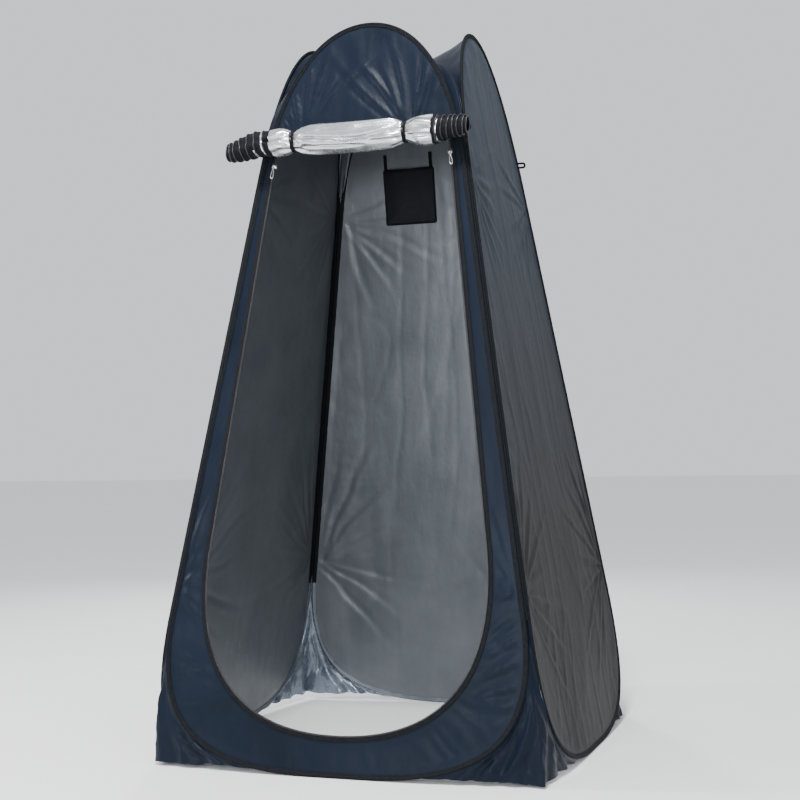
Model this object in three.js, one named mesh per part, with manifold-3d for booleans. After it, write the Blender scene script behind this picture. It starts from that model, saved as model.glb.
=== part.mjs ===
// A pop-up privacy tent for showering and changing: four spring-steel hoops sewn edge to edge, with a
// rolled-up door in the front wall. Millimetres, +Z up, origin on the ground under the roof's centre.
import * as THREE from "three";
import { mergeVertices } from "three/addons/utils/BufferGeometryUtils.js";
import Module from "manifold-3d";

const wasm = await Module();
wasm.setup();

// ---- driving dimensions ----
const TOP_HEIGHT = 1900; // crown of each arch above the ground
const HALF_BASE = 524; // from the tent's axis to a wall's inner plane, at the ground
const LEAN_SLOPE = 0.1595; // how far a wall comes in for each millimetre of height
const CORNER_GAP = 1.5; // from a corner's fold line to the sleeve beside it
const CLEAR = 0.3; // between two pieces that lie on each other

// A wall's own frame: x along the wall, y up its slope, z out of the tent, with z 0 its inner plane.
const LEAN = Math.atan(LEAN_SLOPE);
const slant = (height) => height / Math.cos(LEAN);
const halfWidthAt = (y) => HALF_BASE - y * Math.sin(LEAN);
const SIDE_ANGLE = Math.atan(Math.sin(LEAN)); // a corner's fold line, seen in the wall's plane
const MID_LAYER = 4; // z of the middle of the wire, the sleeve and the cloth
const CLOTH = 1.2; // thickness that stands for a layer of coated polyester
const CLOTH_TOP = MID_LAYER + CLOTH / 2;
const CLOTH_BACK = MID_LAYER - CLOTH / 2;

// Hoop outline: it follows the fold lines between two heights, and is a curve above and below them.
const HOOP = {
  sideLow: slant(380),
  sideHigh: slant(1500),
  flatHalf: 60, // straight stretch on the ground, to each side of the middle
  groundPull: 318, // pulls of the curves' handles
  sidePull: 282,
  archPull: 222,
  crownPull: 157,
  endGap: 0.5, // half the gap between the ends of the wire
  bottomSteps: 7,
  archSteps: 6,
};
const WIRE = { radius: 1.75, inset: 3.9, sides: 6 }; // inset is from the sleeve's outer edge
const FERRULE = { inner: 2.15, outer: 2.8, length: 40, sides: 10 };
const SLEEVE = { halfThick: 3.8, halfCavity: 3.1, legEnd: 13, legHalf: 1.65, slotHalf: 0.95, bevel: 1.4 };
const WALL_INSET = 7.6; // the wall's edge sits in the sleeve's slot
const SEAM_RADIUS = 0.8;
const GUSSET = { topY: slant(372), footHalf: 497, gap: 0.6, footLift: 6, thick: 2, below: 4 };
// The roof's sag is a share of its span.
const ROOF = { inset: 3, layer: -1.6, thick: 1.6, gap: 2.5, rows: 3, sag: 0.45, curl: 1.6 };

// Door opening in the front wall, and the zip along its sides and sill.
const DOOR = {
  topY: slant(1608),
  topHalf: 232.5,
  sideY: slant(551),
  sideHalf: 362,
  sillY: slant(96),
  sidePull: 290,
  sillPull: 284,
  sillSteps: 7,
};
const ZIP = { tapeWidth: 12, tapeThick: 1.2, beadHalf: 3.2, beadLow: 3.2, beadHigh: 7, backOff: 3 };
const SEAM_TAPE = { half: 236, height: 11, lift: 1 };
const SLIDER = { along: 80, length: 13, wingOut: 5, wingIn: 6, wing: 2, low: 0.8, high: 7.3, neck: 3.6 };
const BAIL = { width: 2.4, length: 11, window: 7, height: 4, roof: 1.1 };
const PULL = {
  axisLift: 1.6,
  half: 0.8,
  armIn: 3.2,
  armOut: 4.8,
  eyeEnd: 9,
  armEnd: 11,
  length: 36,
  tipHalf: 3.2,
};

// The rolled door: radii at stations along its length, then its place in the wall's frame.
const ROLL = {
  stations: [
    [-352, 24], [-345, 31], [-250, 36], [-182, 37], [-176, 32], [-160, 32],
    [-154, 38], [-20, 41.5], [122, 38], [128, 31], [144, 31], [150, 36], [230, 33], [284, 29], [290, 24],
  ],
  sides: 20,
  y: slant(1576),
  z: 50,
};
const FLAP = { half: 226, low: 6.9, thick: 4 };
const TIE = { stations: [-168, 136], grooves: [32, 31], half: 6, thick: 1.6 };
const TOGGLE = { radius: 3.5, length: 26, sides: 10 };
const WOUND_ZIP = { thick: 6, inner: 9, outer: 25, ends: [-352, 290] };

const GUY_LOOP = { y: slant(1590), rise: 18, root: 9, reach: 26, tape: 6, thick: 1.8, round: 6 };

// Pocket inside the back wall. Its x is in that wall's frame, so it runs the other way from the tent's.
const POCKET = { left: -20, right: 134, lowY: slant(1447), highY: slant(1606), depth: 14.3, skin: 1.2 };
const STRAP = { width: 10, thick: 1.1, topY: slant(1650), fromEdge: 7 };

// ---- materials ----
const standard = (color, roughness, metalness = 0) =>
  new THREE.MeshStandardMaterial({ color, roughness, metalness });
const NAVY = standard(0x2a3646, 0.6);
const BINDING = standard(0x14181f, 0.75);
const SILVER = standard(0xc9ced2, 0.3, 0.5);
const BLACK = standard(0x0b0c0f, 0.85);
const STEEL = standard(0x5a5f66, 0.35, 1);
const ZINC = standard(0xc4c7ca, 0.25, 1);

// ---- helpers ----
const v2 = (x, y) => new THREE.Vector2(x, y);
const v3 = (x, y, z = 0) => new THREE.Vector3(x, y, z);
const flat = (p) => v3(p.x, p.y);

// A curve made of pieces. Piece i is drawn in counts[i] equal steps, so that straight ones cost little.
class PiecewiseCurve extends THREE.Curve {
  constructor(pieces, counts) {
    super();
    this.pieces = pieces;
    this.counts = counts;
    this.steps = counts.reduce((sum, count) => sum + count, 0);
  }
  getPoint(t, target = new THREE.Vector3()) {
    let step = t * this.steps;
    let i = 0;
    while (i < this.counts.length - 1 && step > this.counts[i]) {
      step -= this.counts[i];
      i += 1;
    }
    return target.copy(this.pieces[i].getPoint(Math.min(1, step / this.counts[i])));
  }
  getUtoTmapping(u) {
    return u;
  }
}

const bezier = (...points) => new THREE.CubicBezierCurve3(...points.map(flat));
const line = (a, b) => new THREE.LineCurve3(flat(a), flat(b));
const mirrored = (p) => v2(-p.x, p.y);

// The points of a curve moved sideways: a positive distance is to the left of its direction.
function offsetPoints(curve, distance) {
  return Array.from({ length: curve.steps + 1 }, (_, i) => {
    const p = curve.getPoint(i / curve.steps);
    const t = curve.getTangent(i / curve.steps);
    return v2(p.x - t.y * distance, p.y + t.x * distance);
  });
}

// A section swept along a curve in the wall's plane. A section point is [distance to the left, z].
function sweep(section, curve) {
  const shape = new THREE.Shape(section.map(([left, z]) => v2(-z, left)));
  return new THREE.ExtrudeGeometry(shape, { steps: curve.steps, bevelEnabled: false, extrudePath: curve });
}

function ring(radius, sides, left, z) {
  return Array.from({ length: sides }, (_, i) => {
    const angle = (2 * Math.PI * (i + 0.5)) / sides;
    return [left + radius * Math.cos(angle), z + radius * Math.sin(angle)];
  });
}

// A flat outline, with any holes, thickened from z low to z low + depth.
function plate(points, low, depth, holes = []) {
  const anticlockwise = THREE.ShapeUtils.isClockWise(points) ? [...points].reverse() : points;
  const shape = new THREE.Shape(anticlockwise);
  shape.holes = holes.map((hole) => new THREE.Path(hole));
  return new THREE.ExtrudeGeometry(shape, { depth, bevelEnabled: false }).translate(0, 0, low);
}

// A profile of [x, radius] pairs turned about the x axis.
function turned(profile, sides) {
  const points = profile.map(([x, radius]) => v2(radius, x));
  return new THREE.LatheGeometry(points, sides).rotateZ(-Math.PI / 2);
}

function ringAround(inner, outer, from, to, sides) {
  return turned([[from, outer], [to, outer], [to, inner], [from, inner], [from, outer]], sides);
}

function block(low, high) {
  const size = high.map((value, i) => value - low[i]);
  const centre = high.map((value, i) => (value + low[i]) / 2);
  return new THREE.BoxGeometry(...size).translate(...centre);
}

function solid(geometry) {
  const bare = new THREE.BufferGeometry().setAttribute("position", geometry.getAttribute("position"));
  if (geometry.index) bare.setIndex(geometry.index);
  const merged = mergeVertices(bare, 1e-4);
  const triVerts = new Uint32Array(merged.index.array);
  const vertProperties = new Float32Array(merged.attributes.position.array);
  return new wasm.Manifold(new wasm.Mesh({ numProp: 3, vertProperties, triVerts }));
}

function geometryOf(manifold) {
  const { vertProperties, triVerts } = manifold.getMesh();
  const geometry = new THREE.BufferGeometry();
  geometry.setAttribute("position", new THREE.BufferAttribute(new Float32Array(vertProperties), 3));
  geometry.setIndex(new THREE.BufferAttribute(new Uint32Array(triVerts), 1));
  return geometry;
}

const joined = (geometries) => geometryOf(geometries.map(solid).reduce((all, one) => all.add(one)));
const cut = (geometry, tool) => geometryOf(solid(geometry).subtract(solid(tool)));

function add(parent, name, geometry, material) {
  const made = new THREE.Mesh(geometry, material);
  made.name = name;
  parent.add(made);
  return made;
}

// A sheet whose lower face is point(i, j) on a grid, and whose upper face is that moved by lift(i).
function thickSheet(point, columns, rows, lift) {
  const positions = [];
  const index = [];
  const faceSize = (columns + 1) * (rows + 1);
  for (const share of [0, 1])
    for (let i = 0; i <= columns; i++)
      for (let j = 0; j <= rows; j++) {
        const place = point(i, j).addScaledVector(lift(i), share);
        positions.push(...place.toArray());
      }
  const at = (i, j) => i * (rows + 1) + j;
  const quad = (a, b, c, d) => index.push(a, c, b, a, d, c);
  const rim = (a, b) => quad(a, b, b + faceSize, a + faceSize);
  for (let i = 0; i < columns; i++)
    for (let j = 0; j < rows; j++) {
      const corners = [at(i, j), at(i + 1, j), at(i + 1, j + 1), at(i, j + 1)];
      quad(...corners.map((corner) => corner + faceSize));
      quad(...corners.reverse());
    }
  for (let i = 0; i < columns; i++) {
    rim(at(i, 0), at(i + 1, 0));
    rim(at(i + 1, rows), at(i, rows));
  }
  for (let j = 0; j < rows; j++) {
    rim(at(0, j + 1), at(0, j));
    rim(at(columns, j), at(columns, j + 1));
  }
  const geometry = new THREE.BufferGeometry();
  geometry.setAttribute("position", new THREE.Float32BufferAttribute(positions, 3));
  geometry.setIndex(index);
  return geometry;
}

// ---- the hoop's outline, as the outer edge of its sleeve ----
const edgeHalfAt = (y) => halfWidthAt(y) - CORNER_GAP / Math.cos(SIDE_ANGLE);

function hoopCurve() {
  const low = v2(edgeHalfAt(HOOP.sideLow), HOOP.sideLow);
  const high = v2(edgeHalfAt(HOOP.sideHigh), HOOP.sideHigh);
  const up = v2(-Math.sin(SIDE_ANGLE), Math.cos(SIDE_ANGLE));
  const start = v2(HOOP.endGap, 0);
  const ground = v2(HOOP.flatHalf, 0);
  const groundHandle = v2(HOOP.flatHalf + HOOP.groundPull, 0);
  const lowHandle = low.clone().addScaledVector(up, -HOOP.sidePull);
  const highHandle = high.clone().addScaledVector(up, HOOP.archPull);
  const crown = v2(0, slant(TOP_HEIGHT));
  const crownHandle = v2(HOOP.crownPull, crown.y);
  return new PiecewiseCurve(
    [
      line(start, ground),
      bezier(ground, groundHandle, lowHandle, low),
      line(low, high),
      bezier(high, highHandle, crownHandle, crown),
      bezier(crown, mirrored(crownHandle), mirrored(highHandle), mirrored(high)),
      line(mirrored(high), mirrored(low)),
      bezier(mirrored(low), mirrored(lowHandle), mirrored(groundHandle), mirrored(ground)),
      line(mirrored(ground), mirrored(start)),
    ],
    [1, HOOP.bottomSteps, 1, HOOP.archSteps, HOOP.archSteps, 1, HOOP.bottomSteps, 1],
  );
}
const hoop = hoopCurve();
const ARCH_START = 2 + HOOP.bottomSteps; // step of the curve at which the arch begins
const ARCH_END = ARCH_START + 2 * HOOP.archSteps;

// ---- pieces that every wall has ----
const wireGeometry = () => sweep(ring(WIRE.radius, WIRE.sides, WIRE.inset, MID_LAYER), hoop);

// The crimped tube that joins the two ends of the wire.
function ferruleGeometry() {
  const { inner, outer, length, sides } = FERRULE;
  return ringAround(inner, outer, -length / 2, length / 2, sides).translate(0, WIRE.inset, MID_LAYER);
}

// Binding tape folded round the wire, whose two legs close on the wall's edge.
function sleeveGeometry() {
  const { halfThick, halfCavity, legEnd, legHalf, slotHalf, bevel } = SLEEVE;
  const skin = halfThick - halfCavity;
  const neck = 2 * WIRE.inset;
  const upper = [
    [0, halfThick - bevel],
    [bevel, halfThick],
    [neck - bevel, halfThick],
    [neck + skin, legHalf],
    [legEnd, legHalf],
    [legEnd, slotHalf],
    [neck + skin, slotHalf],
    [neck - bevel - skin, halfCavity],
    [skin + bevel / 2, halfCavity],
    [skin, halfCavity - bevel / 2],
  ];
  const lower = upper.map(([left, z]) => [left, -z]).reverse();
  return sweep([...upper, ...lower].map(([left, z]) => [left, MID_LAYER + z]), hoop);
}

// Where each wall's frame stands in the tent: x and y of the wall tilt in by the lean, then turn about +Z.
function wallPlacement(turns) {
  const tilt = new THREE.Matrix4().makeRotationX(Math.PI / 2 - LEAN).setPosition(0, -HALF_BASE, 0);
  return new THREE.Matrix4().makeRotationZ((turns * Math.PI) / 2).multiply(tilt);
}
const FRONT = wallPlacement(0);
const FROM_FRONT = FRONT.clone().invert();

// The ground in a wall's own frame: what lies in it is cut away, which leaves a level hem.
const groundGeometry = () => block([-800, -1400, -50], [800, 0, 0]).applyMatrix4(FROM_FRONT);

// Half of a corner's gusset: it fills the corner between the hoop's foot and the ground.
function gussetGeometry(side) {
  const edge = offsetPoints(hoop, -GUSSET.gap)
    .slice(0, ARCH_START - 1)
    .filter((p) => p.y > GUSSET.footLift);
  const outline = [
    v2(edge[0].x, -GUSSET.below),
    ...edge,
    v2(edgeHalfAt(GUSSET.topY), GUSSET.topY),
    v2(GUSSET.footHalf, -GUSSET.below),
  ];
  const points = outline.map((p) => v2(side * p.x, p.y));
  return cut(plate(points, MID_LAYER - GUSSET.thick / 2, GUSSET.thick), groundGeometry());
}

// A wall's share of the roof, from its arch in to the roof's diagonals, sagging between the arches.
function roofGeometry() {
  const trimmed = (distance) => offsetPoints(hoop, distance).slice(ARCH_START + 1, ARCH_END);
  const lower = trimmed(ROOF.inset);
  const upper = trimmed(ROOF.inset - ROOF.thick);
  const point = (i, j) => {
    const rim = v3(lower[i].x, lower[i].y, ROOF.layer).applyMatrix4(FRONT);
    const diagonal = -Math.abs(rim.x) - ROOF.gap;
    const fall = ROOF.sag * (diagonal - rim.y);
    const share = 1 - j / ROOF.rows;
    const y = diagonal + (rim.y - diagonal) * share;
    return v3(rim.x, y, rim.z - fall * (1 - share ** ROOF.curl)).applyMatrix4(FROM_FRONT);
  };
  const lift = (i) => flat(upper[i].clone().sub(lower[i]));
  return thickSheet(point, lower.length - 1, ROOF.rows, lift);
}

function addWall(parent, name, turns, holes = []) {
  const wall = new THREE.Group();
  wall.applyMatrix4(wallPlacement(turns));
  parent.add(wall);
  const cloth = offsetPoints(hoop, WALL_INSET);
  add(wall, `${name}_hoop_wire`, wireGeometry(), STEEL);
  add(wall, `${name}_hoop_ferrule`, ferruleGeometry(), ZINC);
  add(wall, `${name}_hoop_sleeve`, sleeveGeometry(), BINDING);
  add(wall, `${name}_wall`, plate(cloth, CLOTH_BACK, CLOTH, holes), NAVY);
  add(wall, `${name}_roof`, roofGeometry(), NAVY);
  add(wall, `${name}_gusset_left`, gussetGeometry(-1), NAVY);
  add(wall, `${name}_gusset_right`, gussetGeometry(1), NAVY);
  return wall;
}

// The stitched seam on a fold line, at the wall's right-hand corner.
function addCornerSeam(wall, name) {
  const at = (y) => v3(halfWidthAt(y), y);
  const route = new PiecewiseCurve([new THREE.LineCurve3(at(HOOP.sideLow), at(HOOP.sideHigh))], [1]);
  add(wall, name, sweep(ring(SEAM_RADIUS, 8, 0, 0), route), BLACK);
}

// A flat loop of narrow tape on the sleeve's face, for a guy line.
function addGuyLoop(wall, name, side) {
  const { y, rise, root, reach, tape, thick, round } = GUY_LOOP;
  const edge = edgeHalfAt(y);
  const outline = (inset) => {
    const [left, right] = [edge - root + inset, edge + reach - inset];
    const half = rise / 2 - inset;
    const arc = Array.from({ length: round + 1 }, (_, i) => (Math.PI * i) / round - Math.PI / 2);
    const tip = arc.map((a) => v2(right - half + half * Math.cos(a), half * Math.sin(a)));
    return [v2(left, -half), ...tip, v2(left, half)].map((p) => v2(side * p.x, y + p.y));
  };
  const low = MID_LAYER + SLEEVE.halfThick + CLEAR;
  add(wall, name, plate(outline(0), low, thick, [outline(tape)]), BLACK);
}

// ---- the door and its zip ----
function doorCurve() {
  const { topY, topHalf, sideY, sideHalf, sillY, sidePull, sillPull, sillSteps } = DOOR;
  const top = v2(topHalf, topY);
  const side = v2(sideHalf, sideY);
  const down = side.clone().sub(top).normalize();
  const sideHandle = side.clone().addScaledVector(down, sidePull);
  const sill = v2(0, sillY);
  const sillHandle = v2(sillPull, sillY);
  return new PiecewiseCurve(
    [
      line(mirrored(top), mirrored(side)),
      bezier(mirrored(side), mirrored(sideHandle), mirrored(sillHandle), sill),
      bezier(sill, sillHandle, sideHandle, side),
      line(side, top),
    ],
    [1, sillSteps, sillSteps, 1],
  );
}
const door = doorCurve();
const doorwaySlope = Math.atan2(DOOR.sideHalf - DOOR.topHalf, DOOR.topY - DOOR.sideY);

// One half of the zip: woven tape sewn beside the opening, with the row of coils on its inner edge.
function zipGeometry() {
  const { tapeWidth, tapeThick, beadHalf, beadLow, beadHigh, backOff } = ZIP;
  const low = CLOTH_TOP + CLEAR;
  const section = [
    [-tapeWidth, low],
    [CLEAR, low],
    [CLEAR, beadLow],
    [beadHalf, beadLow],
    [beadHalf, beadHigh],
    [-backOff, beadHigh],
    [-backOff, low + tapeThick],
    [-tapeWidth, low + tapeThick],
  ];
  return sweep(section, door);
}

// A zip slider: two wings joined by a neck, and the bail that holds its pull. Local y runs up the zip.
function sliderGeometry(side) {
  const { length, wingOut, wingIn, wing, low, high, neck } = SLIDER;
  const half = length / 2;
  const x = (a, b) => [Math.min(side * a, side * b), Math.max(side * a, side * b)];
  const part = ([x0, x1], y, [z0, z1]) => block([x0, -y, z0], [x1, y, z1]);
  const inward = -1;
  const across = x(inward * wingIn, wingOut);
  const bailX = [-BAIL.width / 2, BAIL.width / 2];
  const bailHigh = high + wing + BAIL.height;
  const bail = cut(
    part(bailX, BAIL.length / 2, [high + wing - CLEAR, bailHigh]),
    part([-BAIL.width, BAIL.width], BAIL.window / 2, [high + wing + CLEAR, bailHigh - BAIL.roof]),
  );
  return joined([
    part(across, half, [low, low + wing]),
    part(across, half, [high, high + wing]),
    part(x(inward * wingIn, inward * neck), half, [low, high + wing]),
    bail,
  ]);
}

// A drop-shaped pull: its end bar lies in the bail, and it hangs along the zip. Its origin is the bar.
function pullGeometry() {
  const { half, armIn, armOut, armEnd, eyeEnd, length, tipHalf } = PULL;
  const outline = [
    v2(-armOut, half),
    v2(-armOut, -armEnd),
    v2(-tipHalf, -length),
    v2(tipHalf, -length),
    v2(armOut, -armEnd),
    v2(armOut, half),
  ];
  const eye = [v2(-armIn, -half), v2(armIn, -half), v2(armIn, -eyeEnd), v2(-armIn, -eyeEnd)];
  return plate(outline, -half, 2 * half, [eye]);
}

function addSlider(wall, name, side) {
  const holder = new THREE.Group();
  const along = v2(DOOR.sideHalf - DOOR.topHalf, DOOR.sideY - DOOR.topY).normalize();
  const place = v2(DOOR.topHalf, DOOR.topY).addScaledVector(along, SLIDER.along);
  holder.position.set(side * place.x, place.y, 0);
  holder.rotation.z = side * doorwaySlope;
  wall.add(holder);
  add(holder, `zip_slider_${name}`, sliderGeometry(side), ZINC);
  const pull = add(holder, `zip_pull_${name}`, pullGeometry(), ZINC);
  pull.position.z = SLIDER.high + SLIDER.wing + PULL.axisLift;
}

// The door, rolled up on itself, with the last stretch of its cloth going up to the seam above.
function doorRollGeometry() {
  const { stations, sides, y, z } = ROLL;
  const first = stations[0][0];
  const last = stations[stations.length - 1][0];
  const roll = turned([[first, 0], ...stations, [last, 0]], sides).translate(0, y, z);
  return joined([roll, block([-FLAP.half, y, FLAP.low], [FLAP.half, DOOR.topY, FLAP.low + FLAP.thick])]);
}

function addDoorRoll(wall) {
  const { sides, y, z } = ROLL;
  add(wall, "door_roll", doorRollGeometry(), SILVER);
  TIE.stations.forEach((x, i) => {
    const name = i === 0 ? "left" : "right";
    const inner = TIE.grooves[i] + 2 * CLEAR;
    const outer = inner + TIE.thick;
    const tie = add(wall, `roll_tie_${name}`, ringAround(inner, outer, -TIE.half, TIE.half, sides), BLACK);
    tie.position.set(x, y, z);
    const bar = new THREE.CylinderGeometry(TOGGLE.radius, TOGGLE.radius, TOGGLE.length, TOGGLE.sides);
    const toggle = add(wall, `roll_toggle_${name}`, bar, BLACK);
    toggle.position.set(x, y, z + outer + TOGGLE.radius + CLEAR);
  });
  WOUND_ZIP.ends.forEach((x, i) => {
    const outwards = i === 0 ? -1 : 1;
    const faces = [CLEAR, CLEAR + WOUND_ZIP.thick].map((step) => outwards * step).sort((a, b) => a - b);
    const wound = ringAround(WOUND_ZIP.inner, WOUND_ZIP.outer - i, ...faces, sides);
    const made = add(wall, `door_zip_${i === 0 ? "left" : "right"}`, wound, BLACK);
    made.position.set(x, y, z);
  });
}

function addSeamTape(wall) {
  const low = CLOTH_TOP + CLEAR;
  const from = DOOR.topY + SEAM_TAPE.lift;
  const tape = block([-SEAM_TAPE.half, from, low], [SEAM_TAPE.half, from + SEAM_TAPE.height, low + CLOTH]);
  add(wall, "door_seam_tape", tape, BLACK);
}

// ---- the pocket inside the back wall ----
function addPocket(wall) {
  const { left, right, lowY, highY, depth, skin } = POCKET;
  const back = CLOTH_BACK - CLEAR;
  const outside = block([left, lowY, back - depth], [right, highY, back]);
  const inner = [left + skin, lowY + skin, back - depth + skin];
  const hollow = block(inner, [right - skin, highY + skin, back + skin]);
  add(wall, "pocket", cut(outside, hollow), BLACK);
  for (const [name, x] of [["left", left + STRAP.fromEdge], ["right", right - STRAP.fromEdge]]) {
    const from = highY + CLEAR;
    const half = STRAP.width / 2;
    const strap = block([x - half, from, back - STRAP.thick], [x + half, STRAP.topY, back]);
    add(wall, `pocket_strap_${name}`, strap, BLACK);
  }
}

// ---- the tent ----
const tent = new THREE.Group();
const doorway = door.getPoints(door.steps).map((p) => v2(p.x, p.y));
const front = addWall(tent, "front", 0, [doorway]);
const right = addWall(tent, "right", 1);
const back = addWall(tent, "back", 2);
const left = addWall(tent, "left", 3);

// A wall's right-hand corner, seen from outside, is shared with the wall one turn on.
addCornerSeam(front, "corner_seam_front_right");
addCornerSeam(right, "corner_seam_back_right");
addCornerSeam(back, "corner_seam_back_left");
addCornerSeam(left, "corner_seam_front_left");

addGuyLoop(front, "guy_loop_front_left", -1);
addGuyLoop(front, "guy_loop_front_right", 1);
addGuyLoop(back, "guy_loop_back_right", -1);
addGuyLoop(back, "guy_loop_back_left", 1);

add(front, "door_zip", zipGeometry(), BLACK);
addSeamTape(front);
addSlider(front, "left", -1);
addSlider(front, "right", 1);
addDoorRoll(front);
addPocket(back);

export default tent;
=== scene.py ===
import math

import bpy
import numpy as np
from mathutils import Matrix, Vector
from mathutils.geometry import delaunay_2d_cdt


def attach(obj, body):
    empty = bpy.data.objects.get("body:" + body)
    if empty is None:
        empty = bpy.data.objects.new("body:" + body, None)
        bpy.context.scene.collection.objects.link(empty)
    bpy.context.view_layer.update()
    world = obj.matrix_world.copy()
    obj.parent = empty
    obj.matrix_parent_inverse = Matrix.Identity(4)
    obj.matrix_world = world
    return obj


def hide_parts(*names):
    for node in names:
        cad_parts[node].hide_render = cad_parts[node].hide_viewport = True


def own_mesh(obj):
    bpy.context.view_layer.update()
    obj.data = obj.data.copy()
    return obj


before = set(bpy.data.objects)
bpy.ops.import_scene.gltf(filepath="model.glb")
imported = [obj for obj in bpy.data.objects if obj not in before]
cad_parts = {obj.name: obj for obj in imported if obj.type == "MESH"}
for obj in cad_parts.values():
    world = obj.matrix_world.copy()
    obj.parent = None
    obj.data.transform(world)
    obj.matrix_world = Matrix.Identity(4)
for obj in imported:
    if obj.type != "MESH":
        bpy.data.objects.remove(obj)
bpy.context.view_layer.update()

# ---- driving dimensions, as in the CAD model ----
MM = 0.001
TOP_HEIGHT = 1.9
HALF_BASE = 0.524
LEAN_SLOPE = 0.1595
LEAN = math.atan(LEAN_SLOPE)
CORNER_GAP = 1.5 * MM
MID_LAYER = 4 * MM  # a wall's cloth, above its inner plane
CLOTH = 0.6 * MM
SIDE_LOW, SIDE_HIGH = 0.380, 1.500  # heights between which a hoop follows the corners
FLAT_HALF, GROUND_PULL, SIDE_PULL, ARCH_PULL, CROWN_PULL = 0.060, 0.318, 0.282, 0.222, 0.157
DOOR_TOP, DOOR_TOP_HALF = 1.608, 0.2325
DOOR_SIDE, DOOR_SIDE_HALF = 0.551, 0.362
DOOR_SILL, DOOR_SIDE_PULL, DOOR_SILL_PULL = 0.096, 0.290, 0.284
GUSSET_FOOT = 0.496  # a corner of the hem, from the tent's axis both ways
GUSSET_TOP = 0.392
ROLL_HEIGHT, ROLL_OUT = 1.576, 50 * MM

CUT_INSET = 7 * MM  # a wall's cut, inside the hoop's outer edge
CALM_EDGE = (11 * MM, 34 * MM)  # from where a wall's relief starts to where it is full
WALL_GRID, WALL_GRID_QUICK, BINDING_GRID = 8.5 * MM, 14 * MM, 4 * MM
GUSSET_COLUMNS, GUSSET_ROWS, ROOF_COLUMNS, ROOF_ROWS = 46, 60, 70, 46
GUSSET_ANCHOR, ROOF_ANCHOR = 0.2, 1.7  # heights of the anchor points worked out for the gussets and the roofs
THREAD_RADIUS, THREAD_ABOVE = 3.15, 38 * MM  # radius in mm, and how far it runs up past the straight sides
POCKET_LEFT, POCKET_WIDTH, POCKET_LOW, POCKET_HIGH = -0.019, 0.152, 1.448, 1.604
POCKET_COLUMNS, POCKET_ROWS = 60, 62

WALLS = ("front", "right", "back", "left")  # each is a quarter turn on from the one before
BODY = {name: f"{name}_panel" for name in WALLS}


def slant(height):
    return height / math.cos(LEAN)


# ---- the camera, at the photographed angle ----
def add_camera():
    data = bpy.data.cameras.new("camera")
    data.lens, data.sensor_width = 66.43, 36
    camera = bpy.data.objects.new("camera", data)
    bpy.context.scene.collection.objects.link(camera)
    yaw, pitch, roll = 0.3322, 0.0307, -0.0156
    forward = Vector((-math.sin(yaw) * math.cos(pitch), math.cos(yaw) * math.cos(pitch), math.sin(pitch)))
    level = Vector((math.cos(yaw), math.sin(yaw), 0))
    upright = level.cross(forward)
    right = math.cos(roll) * level + math.sin(roll) * upright
    up = math.cos(roll) * upright - math.sin(roll) * level
    turn = Matrix((right, up, -forward)).transposed()
    camera.matrix_world = Matrix.Translation((1.3187, -3.8278, 0.793)) @ turn.to_4x4()
    bpy.context.scene.camera = camera


add_camera()


# ---- seeded noise ----
def lattice(i, j, seed):
    n = i.astype(np.int64) * 374761393 + j.astype(np.int64) * 668265263 + seed * 2246822519
    n = (n ^ (n >> 13)) & 0xFFFFFFFF
    n = (n * 1274126177) & 0xFFFFFFFF
    return ((n ^ (n >> 16)) & 0xFFFFFF) / float(0xFFFFFF)


def noise(x, y, seed):
    """Smooth noise from 0 to 1 with features one unit across."""
    x, y = np.broadcast_arrays(np.asarray(x, float), np.asarray(y, float))
    i, j = np.floor(x), np.floor(y)
    u, v = x - i, y - j
    u, v = u * u * u * (u * (6 * u - 15) + 10), v * v * v * (v * (6 * v - 15) + 10)
    low = lattice(i, j, seed) * (1 - u) + lattice(i + 1, j, seed) * u
    high = lattice(i, j + 1, seed) * (1 - u) + lattice(i + 1, j + 1, seed) * u
    return low * (1 - v) + high * v


def swell(x, y, seed):
    """Two octaves of noise, from -1 to 1."""
    return (4 * noise(x, y, seed) + 2 * noise(2.1 * x, 2.1 * y, seed + 1) - 3) / 3


def creases(x, y, seed, sharp=2.5):
    """Thin ridges from 0 to 1, where two levels of noise meet."""
    return (1 - np.abs(2 * noise(x, y, seed) - 1)) ** sharp


def bump(value, centre, width):
    return np.exp(-(((value - centre) / width) ** 2))


def fade(value, start, end):
    t = np.clip((value - start) / (end - start), 0, 1)
    return t * t * (3 - 2 * t)


# ---- wall frames and outlines ----
def to_tent(x, y, z, wall):
    """Points of a wall's own frame (along it, up its slope, out of the tent) in the tent's frame."""
    x, y, z = np.broadcast_arrays(np.asarray(x, float), np.asarray(y, float), np.asarray(z, float))
    out = -HALF_BASE + y * math.sin(LEAN) - z * math.cos(LEAN)
    points = np.stack([x, out, y * math.cos(LEAN) + z * math.sin(LEAN)], -1)
    for _ in range(WALLS.index(wall)):
        points = np.stack([-points[..., 1], points[..., 0], points[..., 2]], -1)
    return points


def wall_normal(wall):
    return to_tent(0, 0, 1, wall) - to_tent(0, 0, 0, wall)


def bezier(points, count):
    t = np.linspace(0, 1, count)[:, None]
    a, b, c, d = (np.array(p, float) for p in points)
    return (1 - t) ** 3 * a + 3 * t * (1 - t) ** 2 * b + 3 * t * t * (1 - t) * c + t**3 * d


def distances(line):
    """How far along a line each of its points is."""
    return np.concatenate([[0], np.cumsum(np.linalg.norm(np.diff(line, axis=0), axis=1))])


def spaced(points, spacing):
    """The same line with its points evenly spaced."""
    run = distances(points)
    even = np.linspace(0, run[-1], max(2, int(round(run[-1] / spacing)) + 1))
    return np.stack([np.interp(even, run, points[:, k]) for k in range(points.shape[1])], -1)


def left_normals(points):
    along = np.gradient(points, axis=0)
    along /= np.linalg.norm(along, axis=1)[:, None]
    return np.stack([-along[:, 1], along[:, 0]], -1)


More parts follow.
